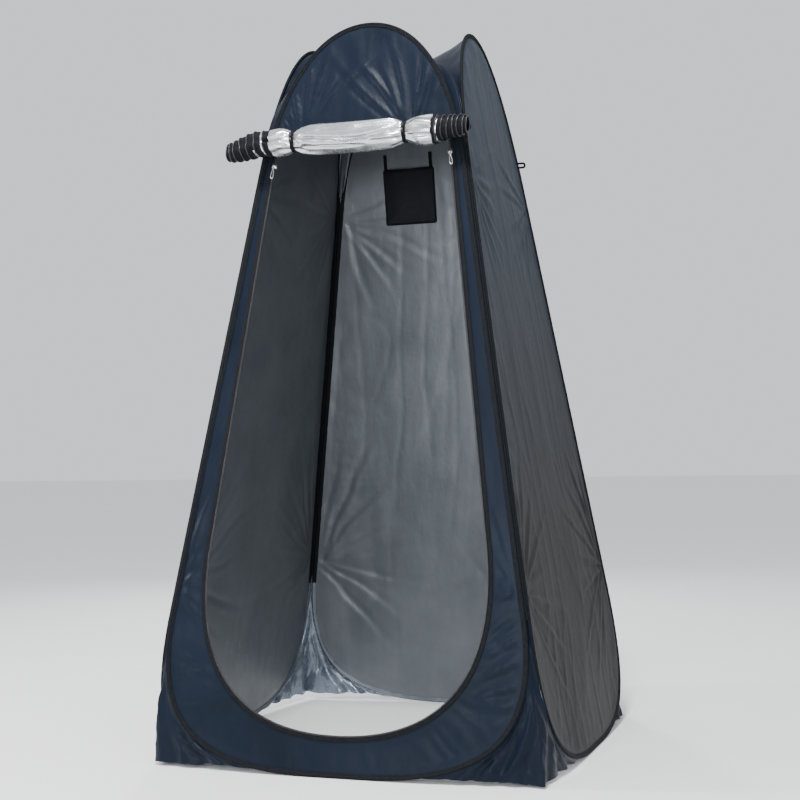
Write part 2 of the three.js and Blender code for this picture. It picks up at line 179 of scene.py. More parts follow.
def edge_half(y):
    side = math.atan(math.sin(LEAN))
    return HALF_BASE - y * math.sin(LEAN) - CORNER_GAP / math.cos(side)


def hoop_right_half():
    """The sleeve's outer edge from the middle of its foot to its crown, in the wall's frame."""
    side = math.atan(math.sin(LEAN))
    up = np.array([-math.sin(side), math.cos(side)])
    low = np.array([edge_half(slant(SIDE_LOW)), slant(SIDE_LOW)])
    high = np.array([edge_half(slant(SIDE_HIGH)), slant(SIDE_HIGH)])
    crown = slant(TOP_HEIGHT)
    foot = bezier([(FLAT_HALF, 0), (FLAT_HALF + GROUND_PULL, 0), low - up * SIDE_PULL, low], 200)
    arch = bezier([high, high + up * ARCH_PULL, (CROWN_PULL, crown), (0, crown)], 200)
    return np.concatenate([[[0, 0]], foot, arch])


def mirrored(points):
    return (points * [-1, 1])[::-1]


def hoop_line(spacing):
    half = spaced(hoop_right_half(), spacing)
    return np.concatenate([half, mirrored(half)[1:]])


def door_line(spacing):
    """The doorway's edge: down its left side, round the sill and up its right side."""
    top = np.array([DOOR_TOP_HALF, slant(DOOR_TOP)])
    side = np.array([DOOR_SIDE_HALF, slant(DOOR_SIDE)])
    down = (side - top) / np.linalg.norm(side - top)
    sill = np.array([0, slant(DOOR_SILL)])
    curve = bezier([sill, sill + [DOOR_SILL_PULL, 0], side + down * DOOR_SIDE_PULL, side], 200)
    half = spaced(np.concatenate([curve, [top]]), spacing)
    return np.concatenate([mirrored(half), half[1:]])


# ---- making meshes ----
def make_mesh(name, points, faces, materials, face_materials=None, uv=None):
    mesh = bpy.data.meshes.new(name)
    mesh.from_pydata(np.asarray(points).tolist(), [], [list(map(int, f)) for f in faces])
    for material in materials:
        mesh.materials.append(material)
    if face_materials is not None:
        mesh.polygons.foreach_set("material_index", np.asarray(face_materials, np.int32))
    mesh.polygons.foreach_set("use_smooth", np.ones(len(mesh.polygons), bool))
    if uv is not None:
        corner = np.zeros(len(mesh.loops), np.int32)
        mesh.loops.foreach_get("vertex_index", corner)
        layer = mesh.uv_layers.new(name="UVMap")
        layer.data.foreach_set("uv", np.asarray(uv, np.float32)[corner].ravel())
    mesh.update()
    made = bpy.data.objects.new(name, mesh)
    bpy.context.scene.collection.objects.link(made)
    return made


def point_normals(points, triangles):
    a, b, c = (points[triangles[:, k]] for k in range(3))
    face = np.cross(b - a, c - a)
    normal = np.zeros_like(points)
    for k in range(3):
        np.add.at(normal, triangles[:, k], face)
    return normal / np.maximum(np.linalg.norm(normal, axis=1), 1e-12)[:, None]


def cloth(name, points, triangles, outer, inner, normals=None, thick=CLOTH, banded=None):
    """A closed thin sheet: its given side wears one material and its back another.

    banded is a third material and the triangles of the given side that wear it."""
    points, triangles = np.asarray(points, float), np.asarray(triangles, int)
    seamless = normals is not None
    if not seamless:
        normals = point_normals(points, triangles)
    count = len(points)
    pairs = np.concatenate([triangles[:, [0, 1]], triangles[:, [1, 2]], triangles[:, [2, 0]]])
    _, first, uses = np.unique(np.sort(pairs, axis=1), axis=0, return_index=True, return_counts=True)
    rim = pairs[first[uses == 1]]
    sides = [[b, a, a + count, b + count] for a, b in rim]
    faces = [*triangles, *(triangles[:, ::-1] + count), *sides]
    wears = np.array([0] * len(triangles) + [1] * len(triangles) + [0] * len(sides))
    worn = [outer, inner]
    if banded is not None:
        worn.append(banded[0])
        wears[: len(triangles)][banded[1]] = 2
        wears[2 * len(triangles) :] = 2
    made = make_mesh(name, np.concatenate([points, points - normals * thick]), faces, worn, wears)
    rims = {(min(a, b), max(a, b)) for a, b in rim} | {(min(a, b) + count, max(a, b) + count) for a, b in rim}
    for edge in made.data.edges:
        edge.use_edge_sharp = tuple(sorted(edge.vertices)) in rims
    if seamless:
        made.data.normals_split_custom_set_from_vertices(np.concatenate([normals, -normals]).tolist())
    return made


def grid_triangles(rows, columns):
    """Triangles of a grid of rows by columns of points, stored row by row."""
    i, j = np.meshgrid(np.arange(rows - 1), np.arange(columns - 1), indexing="ij")
    a = (i * columns + j).ravel()
    b, c, d = a + 1, a + columns + 1, a + columns
    return np.concatenate([np.stack([a, b, c], -1), np.stack([a, c, d], -1)])


# ---- flat patterns of the sheets ----
def flat_area(pattern, triangles):
    a, b, c = (pattern[triangles[:, k]] for k in range(3))
    return float(np.abs((b - a)[:, 0] * (c - a)[:, 1] - (b - a)[:, 1] * (c - a)[:, 0]).sum()) / 2


def surface_area(points, triangles):
    a, b, c = (points[triangles[:, k]] for k in range(3))
    return float(np.linalg.norm(np.cross(b - a, c - a), axis=1).sum()) / 2


def smallest_rectangle(pattern):
    """The sides of the smallest rectangle that a flat pattern can be cut from, to about 2 mm."""
    turns = np.radians(np.arange(0, 90, 0.25))
    across, up = np.cos(turns), np.sin(turns)
    sides = np.stack([np.ptp(pattern @ np.stack(d), axis=0) for d in ((across, up), (-up, across))])
    return sorted(sides[:, np.argmin(sides.prod(0))].tolist())


def declare_sheet(pattern, triangles):
    """Works out the sides of the smallest rectangle that a sheet's flat pattern can be cut from."""
    flat = smallest_rectangle(pattern[np.unique(triangles)])


def unrolled(first, second):
    """Lays the strip between two lines flat, one triangle after another."""

    def beside(a, b, from_a, from_b):
        gap = math.dist(a, b)
        along = (from_a**2 - from_b**2 + gap**2) / (2 * gap)
        off = math.sqrt(max(from_a**2 - along**2, 0))
        d = (b - a) / gap
        return a + d * along + np.array([-d[1], d[0]]) * off

    flat = [(np.zeros(2), np.array([math.dist(first[0], second[0]), 0]))]
    for i in range(1, len(first)):
        a, b = flat[-1]
        c = beside(a, b, math.dist(first[i - 1], first[i]), math.dist(second[i - 1], first[i]))
        flat.append((c, beside(c, b, math.dist(first[i], second[i]), math.dist(second[i - 1], second[i]))))
    return np.array([x for x, _ in flat]), np.array([x for _, x in flat])


def laid_flat(grid):
    """Lays a curved grid flat about its middle column: each row is straight and keeps its length.

    A saddle such as the roof has no exact flat pattern, so its pattern is only near."""
    run = np.linalg.norm(np.diff(grid, axis=1), axis=2).cumsum(1)
    run = np.concatenate([np.zeros((len(grid), 1)), run], axis=1)
    middle = grid.shape[1] // 2
    down = np.linalg.norm(np.diff(grid[:, middle], axis=0), axis=1).cumsum()
    down = np.concatenate([[0], down])[:, None] * np.ones(run.shape)
    return np.stack([run - run[:, [middle]], down], -1).reshape(-1, 2)


# ---- closed shapes ----
def facing_out(points, faces):
    """The faces of a closed shape, turned round if they face inwards."""
    points = np.asarray(points, float)
    volume = 0.0
    for size in {len(face) for face in faces}:
        same = np.array([face for face in faces if len(face) == size])
        for k in range(1, size - 1):
            a, b, c = points[same[:, 0]], points[same[:, k]], points[same[:, k + 1]]
            volume += float((a * np.cross(b, c)).sum())
    return [list(face)[::-1] for face in faces] if volume < 0 else faces


def tube(name, rings, material, closed=False, uv=None):
    """A skin over rings of points: rings is (stations, points round, 3)."""
    stations, around = rings.shape[:2]
    faces = []
    for i in range(stations - 1 + closed):
        here, there = i * around, ((i + 1) % stations) * around
        for j in range(around):
            k = (j + 1) % around
            faces.append([here + j, here + k, there + k, there + j])
    if not closed:
        faces.append(list(range(around))[::-1])
        faces.append([(stations - 1) * around + j for j in range(around)])
    points = rings.reshape(-1, 3)
    return make_mesh(name, points, facing_out(points, faces), [material], None, uv)


def place_piece(made, body, node=None):
    """A piece moves with a body and, where it stands for one, hides a CAD node."""
    if node is not None:
        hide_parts(node)
    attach(made, body)


# ---- materials ----
class Nodes:
    """A short way to wire a material's nodes."""

    def __init__(self, name):
        self.material = bpy.data.materials.new(name)
        self.material.use_nodes = True
        self.tree = self.material.node_tree
        self.shader = self.tree.nodes["Principled BSDF"]

    def add(self, kind, **values):
        node = self.tree.nodes.new(kind)
        for key, value in values.items():
            if key in node.inputs:
                node.inputs[key].default_value = value
            else:
                setattr(node, key, value)
        return node

    def link(self, source, target):
        self.tree.links.new(source, target)

    def coordinates(self, kind, scale):
        place = self.add("ShaderNodeMapping")
        place.inputs["Scale"].default_value = scale
        self.link(self.add("ShaderNodeTexCoord").outputs[kind], place.inputs["Vector"])
        return place.outputs["Vector"]

    def noise(self, vector, scale, detail=3.0, roughness=0.55):
        node = self.add("ShaderNodeTexNoise", Scale=scale, Detail=detail, Roughness=roughness)
        self.link(vector, node.inputs["Vector"])
        return node.outputs["Fac"]

    def weave(self, vector, scale):
        """Crossing threads, from 0 to 1."""
        heights = []
        for direction in ("X", "Z"):
            wave = self.add("ShaderNodeTexWave", bands_direction=direction, Scale=scale)
            self.link(vector, wave.inputs["Vector"])
            heights.append(wave.outputs["Fac"])
        both = self.add("ShaderNodeMath", operation="MULTIPLY")
        self.link(heights[0], both.inputs[0])
        self.link(heights[1], both.inputs[1])
        return both.outputs[0]

    def ramp(self, source, stops):
        node = self.add("ShaderNodeValToRGB")
        elements = node.color_ramp.elements
        while len(elements) < len(stops):
            elements.new(0.5)
        for element, (position, colour) in zip(elements, stops):
            element.position = position
            element.color = (*colour, 1)
        self.link(source, node.inputs["Fac"])
        return node.outputs["Color"]

    def bumps(self, layers):
        """Bump layers of (height output, strength, distance), one on another."""
        below = None
        for height, strength, distance in layers:
            node = self.add("ShaderNodeBump", Strength=strength, Distance=distance)
            self.link(height, node.inputs["Height"])
            if below is not None:
                self.link(below, node.inputs["Normal"])
            below = node.outputs["Normal"]
        self.link(below, self.shader.inputs["Normal"])

    def shade(self, **values):
        for key, value in values.items():
            self.shader.inputs[key.replace("_", " ")].default_value = value


def polyester(name, dark, light, rough, gloss, painted_top_light=None):
    """Thin plain-woven cloth with a soft sheen and faint creases. Given a lighter colour, it pales to it at
    its top: painted light, the top of the cloth lighter because of how light falls on it.
    """
    n = Nodes(name)
    place = n.coordinates("Object", (1, 1, 1))
    patches = n.noise(place, 4.0, 4.0)
    colour = n.ramp(patches, [(0.3, dark), (0.72, light)])
    # painted light: the colour pales towards a lighter one higher up the cloth
    if painted_top_light is not None:
        parts = n.add("ShaderNodeSeparateXYZ")
        n.link(place, parts.inputs[0])
        height = n.add("ShaderNodeMapRange")
        height.inputs["From Min"].default_value, height.inputs["From Max"].default_value = 0.5, 1.8
        n.link(parts.outputs["Z"], height.inputs["Value"])
        mix = n.add("ShaderNodeMix", data_type="RGBA")
        n.link(height.outputs["Result"], mix.inputs["Factor"])
        n.link(colour, mix.inputs[6])
        mix.inputs[7].default_value = (*painted_top_light, 1)
        colour = mix.outputs[2]
    n.link(colour, n.shader.inputs["Base Color"])
    grain = n.noise(place, 90.0, 2.0)
    spread = n.add("ShaderNodeMapRange")
    spread.inputs["To Min"].default_value, spread.inputs["To Max"].default_value = rough
    n.link(grain, spread.inputs["Value"])
    n.link(spread.outputs["Result"], n.shader.inputs["Roughness"])
    crinkle = n.noise(n.coordinates("Object", (1, 1, 0.35)), 38.0, 5.0, 0.6)
    n.bumps([(crinkle, 0.22, 0.004), (n.weave(place, 420.0), 0.12, 0.0006)])
    n.shade(Sheen_Weight=0.02, Sheen_Roughness=0.45, Specular_IOR_Level=gloss)
    return n.material


def silvered(name, dark, light, metal, rough, crinkle=1.0):
    """The silver-coated side of the cloth: satin, with many fine crinkles."""
    n = Nodes(name)
    place = n.coordinates("Object", (1, 1, 1))
    patches = n.noise(place, 7.0, 5.0)
    n.link(n.ramp(patches, [(0.32, dark), (0.7, light)]), n.shader.inputs["Base Color"])
    fine = n.noise(place, 55.0, 5.0, 0.62)
    coarse = n.noise(n.coordinates("Object", (1, 1, 0.3)), 16.0, 4.0, 0.6)
    spread = n.add("ShaderNodeMapRange")
    spread.inputs["To Min"].default_value = rough - 0.07
    spread.inputs["To Max"].default_value = rough + 0.1
    n.link(fine, spread.inputs["Value"])
    n.link(spread.outputs["Result"], n.shader.inputs["Roughness"])
    layers = [(coarse, 0.25 * crinkle, 0.008), (fine, 0.16 * crinkle, 0.003)]
    n.bumps([*layers, (n.weave(place, 420.0), 0.06, 0.0005)])
    n.shade(Metallic=metal, Specular_IOR_Level=0.5)
    return n.material


def tape(name, dark, light, rib=260.0, direction="X"):
    """Woven tape, with ribs across its UV length."""
    n = Nodes(name)
    uv = n.coordinates("UV", (1, 1, 1))
    grain = n.noise(n.coordinates("Object", (1, 1, 1)), 160.0, 3.0)
    n.link(n.ramp(grain, [(0.3, dark), (0.75, light)]), n.shader.inputs["Base Color"])
    ribs = n.add("ShaderNodeTexWave", bands_direction=direction, Scale=rib)
    n.link(uv, ribs.inputs["Vector"])
    n.bumps([(ribs.outputs["Fac"], 0.35, 0.0008), (grain, 0.3, 0.001)])
    n.shade(Roughness=0.72, Specular_IOR_Level=0.1)
    return n.material


def plain(name, dark, light, rough, metal=0.0, scale=120.0, strength=0.1):
    """A hard or dense material with a fine grain."""
    n = Nodes(name)
    grain = n.noise(n.coordinates("Object", (1, 1, 1)), scale, 4.0)
    n.link(n.ramp(grain, [(0.3, dark), (0.75, light)]), n.shader.inputs["Base Color"])
    n.bumps([(grain, strength, 0.0006)])
    n.shade(Roughness=rough, Metallic=metal)
    return n.material


NAVY = polyester("navy_cloth", (0.0028, 0.0056, 0.0125), (0.0060, 0.0105, 0.0205), (0.34, 0.48), 0.095)
# The side walls wear a greyer copy of the navy cloth. It is painted light and shade for how light falls on
# them, and is painted paler towards the top.
SIDE_PAINTED_TOP_LIGHT = (0.014, 0.024, 0.040)
SIDE_NAVY_PAINTED_LIGHT = polyester(
    "navy_cloth_side_painted_light", (0.0070, 0.0066, 0.0070), (0.0105, 0.0102, 0.0112), (0.50, 0.64), 0.10, SIDE_PAINTED_TOP_LIGHT
)
LINING = silvered("silver_lining", (0.095, 0.108, 0.122), (0.130, 0.145, 0.160), 0.35, 0.42)
FOOT_LINING = silvered("foot_lining", (0.085, 0.10, 0.12), (0.15, 0.17, 0.20), 0.45, 0.36)
GUSSET_LINING = silvered("gusset_lining", (0.13, 0.16, 0.20), (0.26, 0.30, 0.36), 0.6, 0.26)
SILVER = silvered("silver_door", (0.46, 0.49, 0.51), (0.66, 0.68, 0.70), 0.92, 0.25, 0.4)
BINDING = tape("binding_tape", (0.0025, 0.0032, 0.0045), (0.0075, 0.009, 0.012), 190.0)
WEBBING = tape("webbing", (0.003, 0.0035, 0.004), (0.009, 0.0095, 0.011), 330.0)
ZIP_TAPE = tape("zip_tape", (0.003, 0.0035, 0.0045), (0.008, 0.009, 0.012), 300.0, "Y")
COIL = plain("zip_coil", (0.008, 0.008, 0.010), (0.02, 0.021, 0.024), 0.38)
ZINC = plain("bright_zinc", (0.52, 0.53, 0.54), (0.72, 0.73, 0.74), 0.24, 1.0, 300.0)
STEEL = plain("spring_steel", (0.12, 0.12, 0.13), (0.2, 0.2, 0.21), 0.35, 1.0, 500.0)
POCKET = polyester("pocket_cloth", (0.006, 0.007, 0.010), (0.012, 0.014, 0.018), (0.6, 0.75), 0.12)


# ---- walls ----
HOOP = hoop_line(6 * MM)
HOOP_RUN = distances(HOOP)
WALL_CUT = HOOP[:-1] + left_normals(HOOP)[:-1] * CUT_INSET
DOOR = door_line(6 * MM)


def nearest(x, y, line):
    """For each point: which point of a line is nearest, and how far away it is."""
    best, away = np.zeros(len(x), int), np.zeros(len(x))
    for start in range(0, len(x), 2000):
        part = slice(start, start + 2000)
        d = np.hypot(x[part, None] - line[None, :, 0], y[part, None] - line[None, :, 1])
        best[part], away[part] = d.argmin(1), d.min(1)
    return best, away


def nearest_on_hoop(x, y):
    """For each point: how far along the hoop its nearest point is, and how far away that is."""
    best, gap = nearest(x, y, HOOP)
    return HOOP_RUN[best], gap


def inside(points, outline):
    x, y = points[:, 0], points[:, 1]
    odd = np.zeros(len(points), bool)
    for (ax, ay), (bx, by) in zip(outline, np.roll(outline, -1, axis=0)):
        crosses = (ay > y) != (by > y)
        with np.errstate(divide="ignore", invalid="ignore"):
            odd ^= crosses & (x < (bx - ax) * (y - ay) / (by - ay) + ax)
    return odd


def wall_pattern(spacing, with_door):
    """The wall's cut as triangles: its points lie on its outline, the doorway's edge and a fine lattice."""
    rows = np.arange(0, slant(TOP_HEIGHT), spacing * 0.866)
    lattice_points = np.array(
        [(x + (k % 2) * spacing / 2, y) for k, y in enumerate(rows) for x in np.arange(-0.5, 0.5, spacing)]
    )
    keep = inside(lattice_points, WALL_CUT)
    keep &= nearest(*lattice_points.T, HOOP)[1] > CUT_INSET + spacing * 0.6
    loops = [WALL_CUT]
    if with_door:
        loops.append(DOOR)
        keep &= ~inside(lattice_points, DOOR)
        keep &= nearest(*lattice_points.T, DOOR)[1] > spacing * 0.6
    points = np.concatenate([*loops, lattice_points[keep]])
    edges, at = [], 0
    for loop in loops:
        edges += [(at + i, at + (i + 1) % len(loop)) for i in range(len(loop))]
        at += len(loop)
    made = delaunay_2d_cdt([Vector(p) for p in points], edges, [list(range(len(WALL_CUT)))], 1, 1e-7)
    points = np.array([tuple(p) for p in made[0]])
    triangles = np.array([f for f in made[2] if len(f) == 3])
    if with_door:
        triangles = triangles[~inside(points[triangles].mean(1), DOOR)]
    a, b, c = (points[triangles[:, k]] for k in range(3))
    cross = (b - a)[:, 0] * (c - a)[:, 1] - (b - a)[:, 1] * (c - a)[:, 0]
    triangles = triangles[np.abs(cross) > 1e-12]
    cross = cross[np.abs(cross) > 1e-12]
    triangles[cross < 0] = triangles[cross < 0][:, ::-1]
    used, triangles = np.unique(triangles, return_inverse=True)
    return points[used], triangles.reshape(-1, 3)


def fan(x, y, centre, angles, reach, width, depth, seed):
    """Tension creases that spread from one point."""
    relief = np.zeros_like(x)
    rng = np.random.default_rng(seed)
    for angle in angles:
        a = math.radians(angle)
        along = (x - centre[0]) * math.cos(a) + (y - centre[1]) * math.sin(a)
        off = -(x - centre[0]) * math.sin(a) + (y - centre[1]) * math.cos(a)
        off += 0.012 * swell(along * 6, angle, seed)
        long = reach * rng.uniform(0.7, 1.15)
        wide = width * (0.7 + 0.9 * np.clip(along / long, 0, 1)) * rng.uniform(0.8, 1.3)
        strength = fade(along, 0, 0.03) * (1 - fade(along, 0.45 * long, long))
        relief += depth * rng.uniform(0.6, 1.2) * strength * np.exp(-((off / wide) ** 2))
        relief -= 0.5 * depth * strength * np.exp(-(((off - 1.6 * wide) / wide) ** 2))
    return relief


def common_relief(x, y, run, gap, seed):
    """Relief that every stretched wall has: a shallow hollow, drapes, and puckers at the binding."""
    relief = -5 * MM * (1 - np.exp(-gap / 0.10))
    relief += 4.5 * MM * swell(x * 3.2, y * 1.9, seed)
    relief += 1.3 * MM * creases(x * 13 + 0.6 * swell(x * 2, y * 2, seed + 3), y * 0.7, seed + 5, 4)
    relief += 1.1 * MM * creases(x * 6 + y * 2.4, y * 3.2 - x * 1.5, seed + 7, 6)
    # tension creases from where the hoop leaves the corners
    for side in (-1, 1):
        for at, (half, height, headings, reach, depth) in enumerate(CORNER_FANS):
            turned = [a if side < 0 else 180 - a for a in headings]
            centre = (side * half, slant(height))
            relief += fan(x, y, centre, turned, reach, 8 * MM, depth, seed + 20 + at + side)
    relief += 0.45 * MM * creases(x * 26 + y * 6, y * 9 - x * 4, seed + 8, 3)
    relief += 1.5 * MM * (noise(run / 0.013, 0, seed + 9) - 0.5) * np.exp(-gap / 0.016)
    relief += 2.6 * MM * (noise(run / 0.034, gap / 0.05, seed + 11) - 0.5) * np.exp(-gap / 0.055)
    return relief


# half width and height of a fan's centre, headings seen from a left-hand corner, reach and depth
CORNER_FANS = (
    (0.445, 0.44, (-48, -30, -12, 8, 27, 44, 60, 72), 0.46, 3.2 * MM),
    (0.272, 1.47, (-72, -56, -40, -22, 2, 24), 0.34, 2.4 * MM),
)


def front_relief(x, y, run, gap):
    relief = common_relief(x, y, run, gap, 11)
    up = y * math.cos(LEAN)
    arch = fade(up, 1.585, 1.66)
    relief += arch * fan(x, y, (-0.172, 1.60), (50, 63, 75, 86, 99, 112, 124), 0.36, 5.5 * MM, 5.5 * MM, 21)
    relief += arch * fan(x, y, (0.140, 1.60), (64, 78, 91, 104, 114, 125, 136), 0.36, 5.5 * MM, 6.5 * MM, 23)
    relief += arch * 1.8 * MM * creases(x * 34, y * 2.5, 25, 3)
    side = np.sign(x)
    low = bump(up, 0.27, 0.20) * fade(np.abs(x), 0.14, 0.28)
    slanted = (run * side + 0.55 * gap) / 0.030
    relief += 7.5 * MM * low * creases(slanted, 0.35 * np.abs(x) / 0.05, 27, 2) * fade(gap, 8 * MM, 40 * MM)
    mid = fade(up, 0.42, 0.6) * (1 - fade(up, 1.35, 1.55))
    relief += 2.6 * MM * mid * creases(np.abs(x) * 18 + up * 12 * (side < 0) + up * 5, up * 3, 29, 2.5)
    return relief


def back_relief(x, y, run, gap):
    relief = common_relief(x, y, run, gap, 41)
    up = y * math.cos(LEAN)
    corner = np.exp(-gap / 0.10) * (x > 0)  # the wall's own x runs the other way from the tent's
    relief += 3.2 * MM * corner * bump(up, 0.62, 0.22) * creases(0.4 * gap / 0.03, up / 0.024, 43, 2)
    relief += 2.2 * MM * bump(up, 0.35, 0.2) * creases(x * 9 + up * 7, up * 5 - x * 6, 45, 3)
    relief += 1.2 * MM * creases(x * 16 + 2 * swell(x * 3, y, 46), y * 0.9, 47, 4)
    return relief * (1 - 0.7 * bump(x, 0.057, 0.09) * bump(up, 1.53, 0.09))


def right_relief(x, y, run, gap):
    relief = common_relief(x, y, run, gap, 61)
    up = y * math.cos(LEAN)
    relief += 2.0 * MM * np.exp(-gap / 0.07) * (x < 0) * creases(gap / 0.05 + up * 4, up / 0.045, 63, 2)
    relief += 1.6 * MM * bump(up, 0.25, 0.2) * creases(x * 12 - up * 6, up * 5, 65, 3)
    return relief


def left_relief(x, y, run, gap):
    return 0.7 * common_relief(x, y, run, gap, 81)


RELIEF = {"front": front_relief, "right": right_relief, "back": back_relief, "left": left_relief}


# The photograph shows no seam in the front wall. The parts share edges and normals.
def front_parts(middles):
    high, low = middles[:, 1] > slant(DOOR_TOP), middles[:, 1] < 0.5
    side = ~high & ~low
    return {
        "upper": high,
        "left_band": side & (middles[:, 0] < 0),
        "right_band": side & (middles[:, 0] > 0),
        "lower_band": low,
    }


def add_wall(wall, pattern):
    points, triangles = pattern
    x, y = points[:, 0], points[:, 1]
    run, gap = nearest_on_hoop(x, y)
    relief = RELIEF[wall](x, y, run, gap) * fade(gap, *CALM_EDGE)
    parts = {"cloth": np.ones(len(triangles), bool)}
    if wall == "front":
        relief *= fade(nearest(x, y, DOOR)[1], 9 * MM, 40 * MM)
        parts = front_parts(points[triangles].mean(1))
    raised = to_tent(x, y, MID_LAYER + relief, wall)
    normals = point_normals(raised, triangles)
    # painted light and shade: the side walls wear the greyer copy of the navy cloth, paler at the top
    shell = SIDE_NAVY_PAINTED_LIGHT if wall in ("right", "left") else NAVY
    for label, chosen in parts.items():
        used, faces = np.unique(triangles[chosen], return_inverse=True)
        made = cloth(f"{wall}_wall_{label}", raised[used], faces.reshape(-1, 3), shell, LINING, normals[used])
        place_piece(made, BODY[wall], f"{wall}_wall")
        declare_sheet(points, triangles[chosen])


def dress(node, material):
    """Gives a CAD node that is carried over its material."""
    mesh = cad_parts[node].data
    mesh.materials.clear()
    mesh.materials.append(material)


# ---- the binding over each hoop, puckered by its stitches ----
def add_binding(wall, spacing):
    line = hoop_line(spacing)[:-1]
    inward = left_normals(line)
    run = np.arange(len(line)) * spacing
    seed = 100 + WALLS.index(wall)
    bead = [(3.9 + 3.7 * math.cos(a), 3.7 * math.sin(a)) for a in np.radians(np.arange(40, 321, 20))]
    hem = [(13, 1.3), (10.2, 1.5), (7.8, 1.9)]
    profile = np.array([*hem, *bead, *[(inset, -lift) for inset, lift in hem[::-1]]]) * MM
    inset = profile[None, :, 0] * np.ones((len(line), 1))
    lift = profile[None, :, 1] * np.ones((len(line), 1))
    fat = 1 + 0.09 * swell(run / 0.010, 0, seed)[:, None]
    lift = lift * fat + 0.7 * MM * swell(run / 0.016, 3, seed + 5)[:, None] * fade(inset, 6 * MM, 12 * MM)
    inset = inset + 0.7 * MM * swell(run / 0.012, 7, seed + 9)[:, None] * fade(inset, 7 * MM, 13 * MM)
    # ties the ends of the run together where the line closes
    blend = fade(run, 0, 0.03)[:, None] * (1 - fade(run, run[-1] - 0.03, run[-1]))[:, None]
    lift = profile[None, :, 1] + (lift - profile[None, :, 1]) * blend
    x = line[:, None, 0] + inward[:, None, 0] * inset
    y = np.maximum(line[:, None, 1] + inward[:, None, 1] * inset, 0.2 * MM)
    rings = to_tent(x, y, MID_LAYER + lift, wall)
    across = np.linspace(0, 1, len(profile))
    uv = np.stack(np.broadcast_arrays(run[:, None], across[None]), -1).reshape(-1, 2)
    made = tube(f"{wall}_hoop_binding", rings, BINDING, closed=True, uv=uv)
    # round the foot the lining covers the binding's inner side
    made.data.materials.append(FOOT_LINING)
    inner_side = np.arange(len(profile)) >= len(bead) // 2 + 5
    faces = np.array([face.vertices[:] for face in made.data.polygons])
    low = line[faces // len(profile), 1].max(1) < slant(SIDE_LOW - 0.012)
    lined = low & inner_side[faces % len(profile)].all(1)
    made.data.polygons.foreach_set("material_index", lined.astype(np.int32))
    place_piece(made, BODY[wall], f"{wall}_hoop_sleeve")
    dress(f"{wall}_hoop_wire", STEEL)
    dress(f"{wall}_hoop_ferrule", ZINC)


def ring_frames(path, up):
    """Two directions across a path at each of its points: level with up, and square to both."""
    along = np.gradient(path, axis=0)
    along /= np.linalg.norm(along, axis=1)[:, None]
    side = np.cross(along, up)
    side /= np.linalg.norm(side, axis=1)[:, None]
    return side, np.cross(side, along)


def round_tube(name, path, radius, material, around=8, up=(0, 0, 1), closed=False):
    side, top = ring_frames(path, np.asarray(up, float))
    turn = np.linspace(0, 2 * math.pi, around, endpoint=False)
    radius = np.broadcast_to(radius, (len(path),))[:, None, None]
    ring = side[:, None] * np.cos(turn)[None, :, None] + top[:, None] * np.sin(turn)[None, :, None]
    run = distances(path)
    uv = np.stack(np.broadcast_arrays(run[:, None], turn[None] / 6.3), -1).reshape(-1, 2)
    return tube(name, path[:, None] + ring * radius, material, closed, uv)


CORNERS = {"front_right": (1, -1), "back_right": (1, 1), "back_left": (-1, 1), "front_left": (-1, -1)}
SEAM_BODY = {"front_right": "right_panel", "back_right": "back_panel", "back_left": "back_panel"}


def add_corner_seam(corner):
    """The twisted thread that sews two hoops together down a corner."""
    sx, sy = CORNERS[corner]
    height = np.arange(SIDE_LOW, SIDE_HIGH + THREAD_ABOVE, 2.5 * MM)
    out = HALF_BASE - LEAN_SLOPE * height
    path = np.stack([sx * out, sy * out, height], -1)
    radius = (THREAD_RADIUS + 0.12 * np.sin(height * 900)) * MM
    made = round_tube(f"{corner}_corner_thread", path, radius, BINDING, 8, (1, 0, 0))
    place_piece(made, SEAM_BODY.get(corner, "left_panel"), f"corner_seam_{corner}")


# ---- roof: one soap film over the four arches, cut along its diagonals ----
def add_roofs(columns, rows):
    arch = HOOP + left_normals(HOOP) * 8 * MM
    arch = arch[(HOOP[:, 1] > slant(SIDE_HIGH) + 20 * MM)]
    rim = to_tent(arch[:, 0], arch[:, 1], 1.0 * MM, "front")
    angle = np.arctan2(rim[:, 0], -rim[:, 1])
    quarter = np.linspace(-math.pi / 4, math.pi / 4, columns)
    order = np.argsort(angle)
    plan = [np.interp(quarter, angle[order], rim[order, k]) for k in range(3)]
    plan[0][[0, -1]] = plan[1][[0, -1]] * [1, -1]
    height, even = plan[2], np.cos(4 * np.outer(np.arange(14), quarter))
    weights = np.trapz(height * even, quarter, axis=1) / (math.pi / 4) / [2, *[1] * 13]
    share = np.linspace(0.004, 1, rows) ** 0.8
    smooth = sum(
        w * e[None] * (share[:, None] ** (2.3 * k) if k else 1) for k, (w, e) in enumerate(zip(weights, even))
    )
    z = smooth + (height - smooth[-1])[None] * share[:, None] ** 12
    for wall in WALLS:
        turn = math.pi / 2 * WALLS.index(wall)
        x, y = share[:, None] * plan[0][None], share[:, None] * plan[1][None]
        world_x, world_y = x * math.cos(turn) - y * math.sin(turn), x * math.sin(turn) + y * math.cos(turn)
        calm = fade(share, 1.0, 0.9)[:, None]
        ripple = 2.2 * MM * swell(world_x * 9, world_y * 9, 130)
        ripple = ripple + 2.0 * MM * creases(world_x * 14, world_y * 14, 131, 3)
        points = np.stack([world_x, world_y, z - calm * ripple], -1).reshape(-1, 3)
        triangles = grid_triangles(rows, columns)
        if point_normals(points, triangles)[:, 2].sum() < 0:
            triangles = triangles[:, ::-1]
        made = cloth(f"{wall}_roof_cloth", points, triangles, NAVY, LINING)
        place_piece(made, BODY[wall], f"{wall}_roof")
        anchor = to_tent(0, slant(ROOF_ANCHOR), 2 * MM, wall)
        wall_normal(wall).tolist()
        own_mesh(made)
        pattern = laid_flat(points.reshape(rows, columns, 3))
        declare_sheet(pattern, triangles)


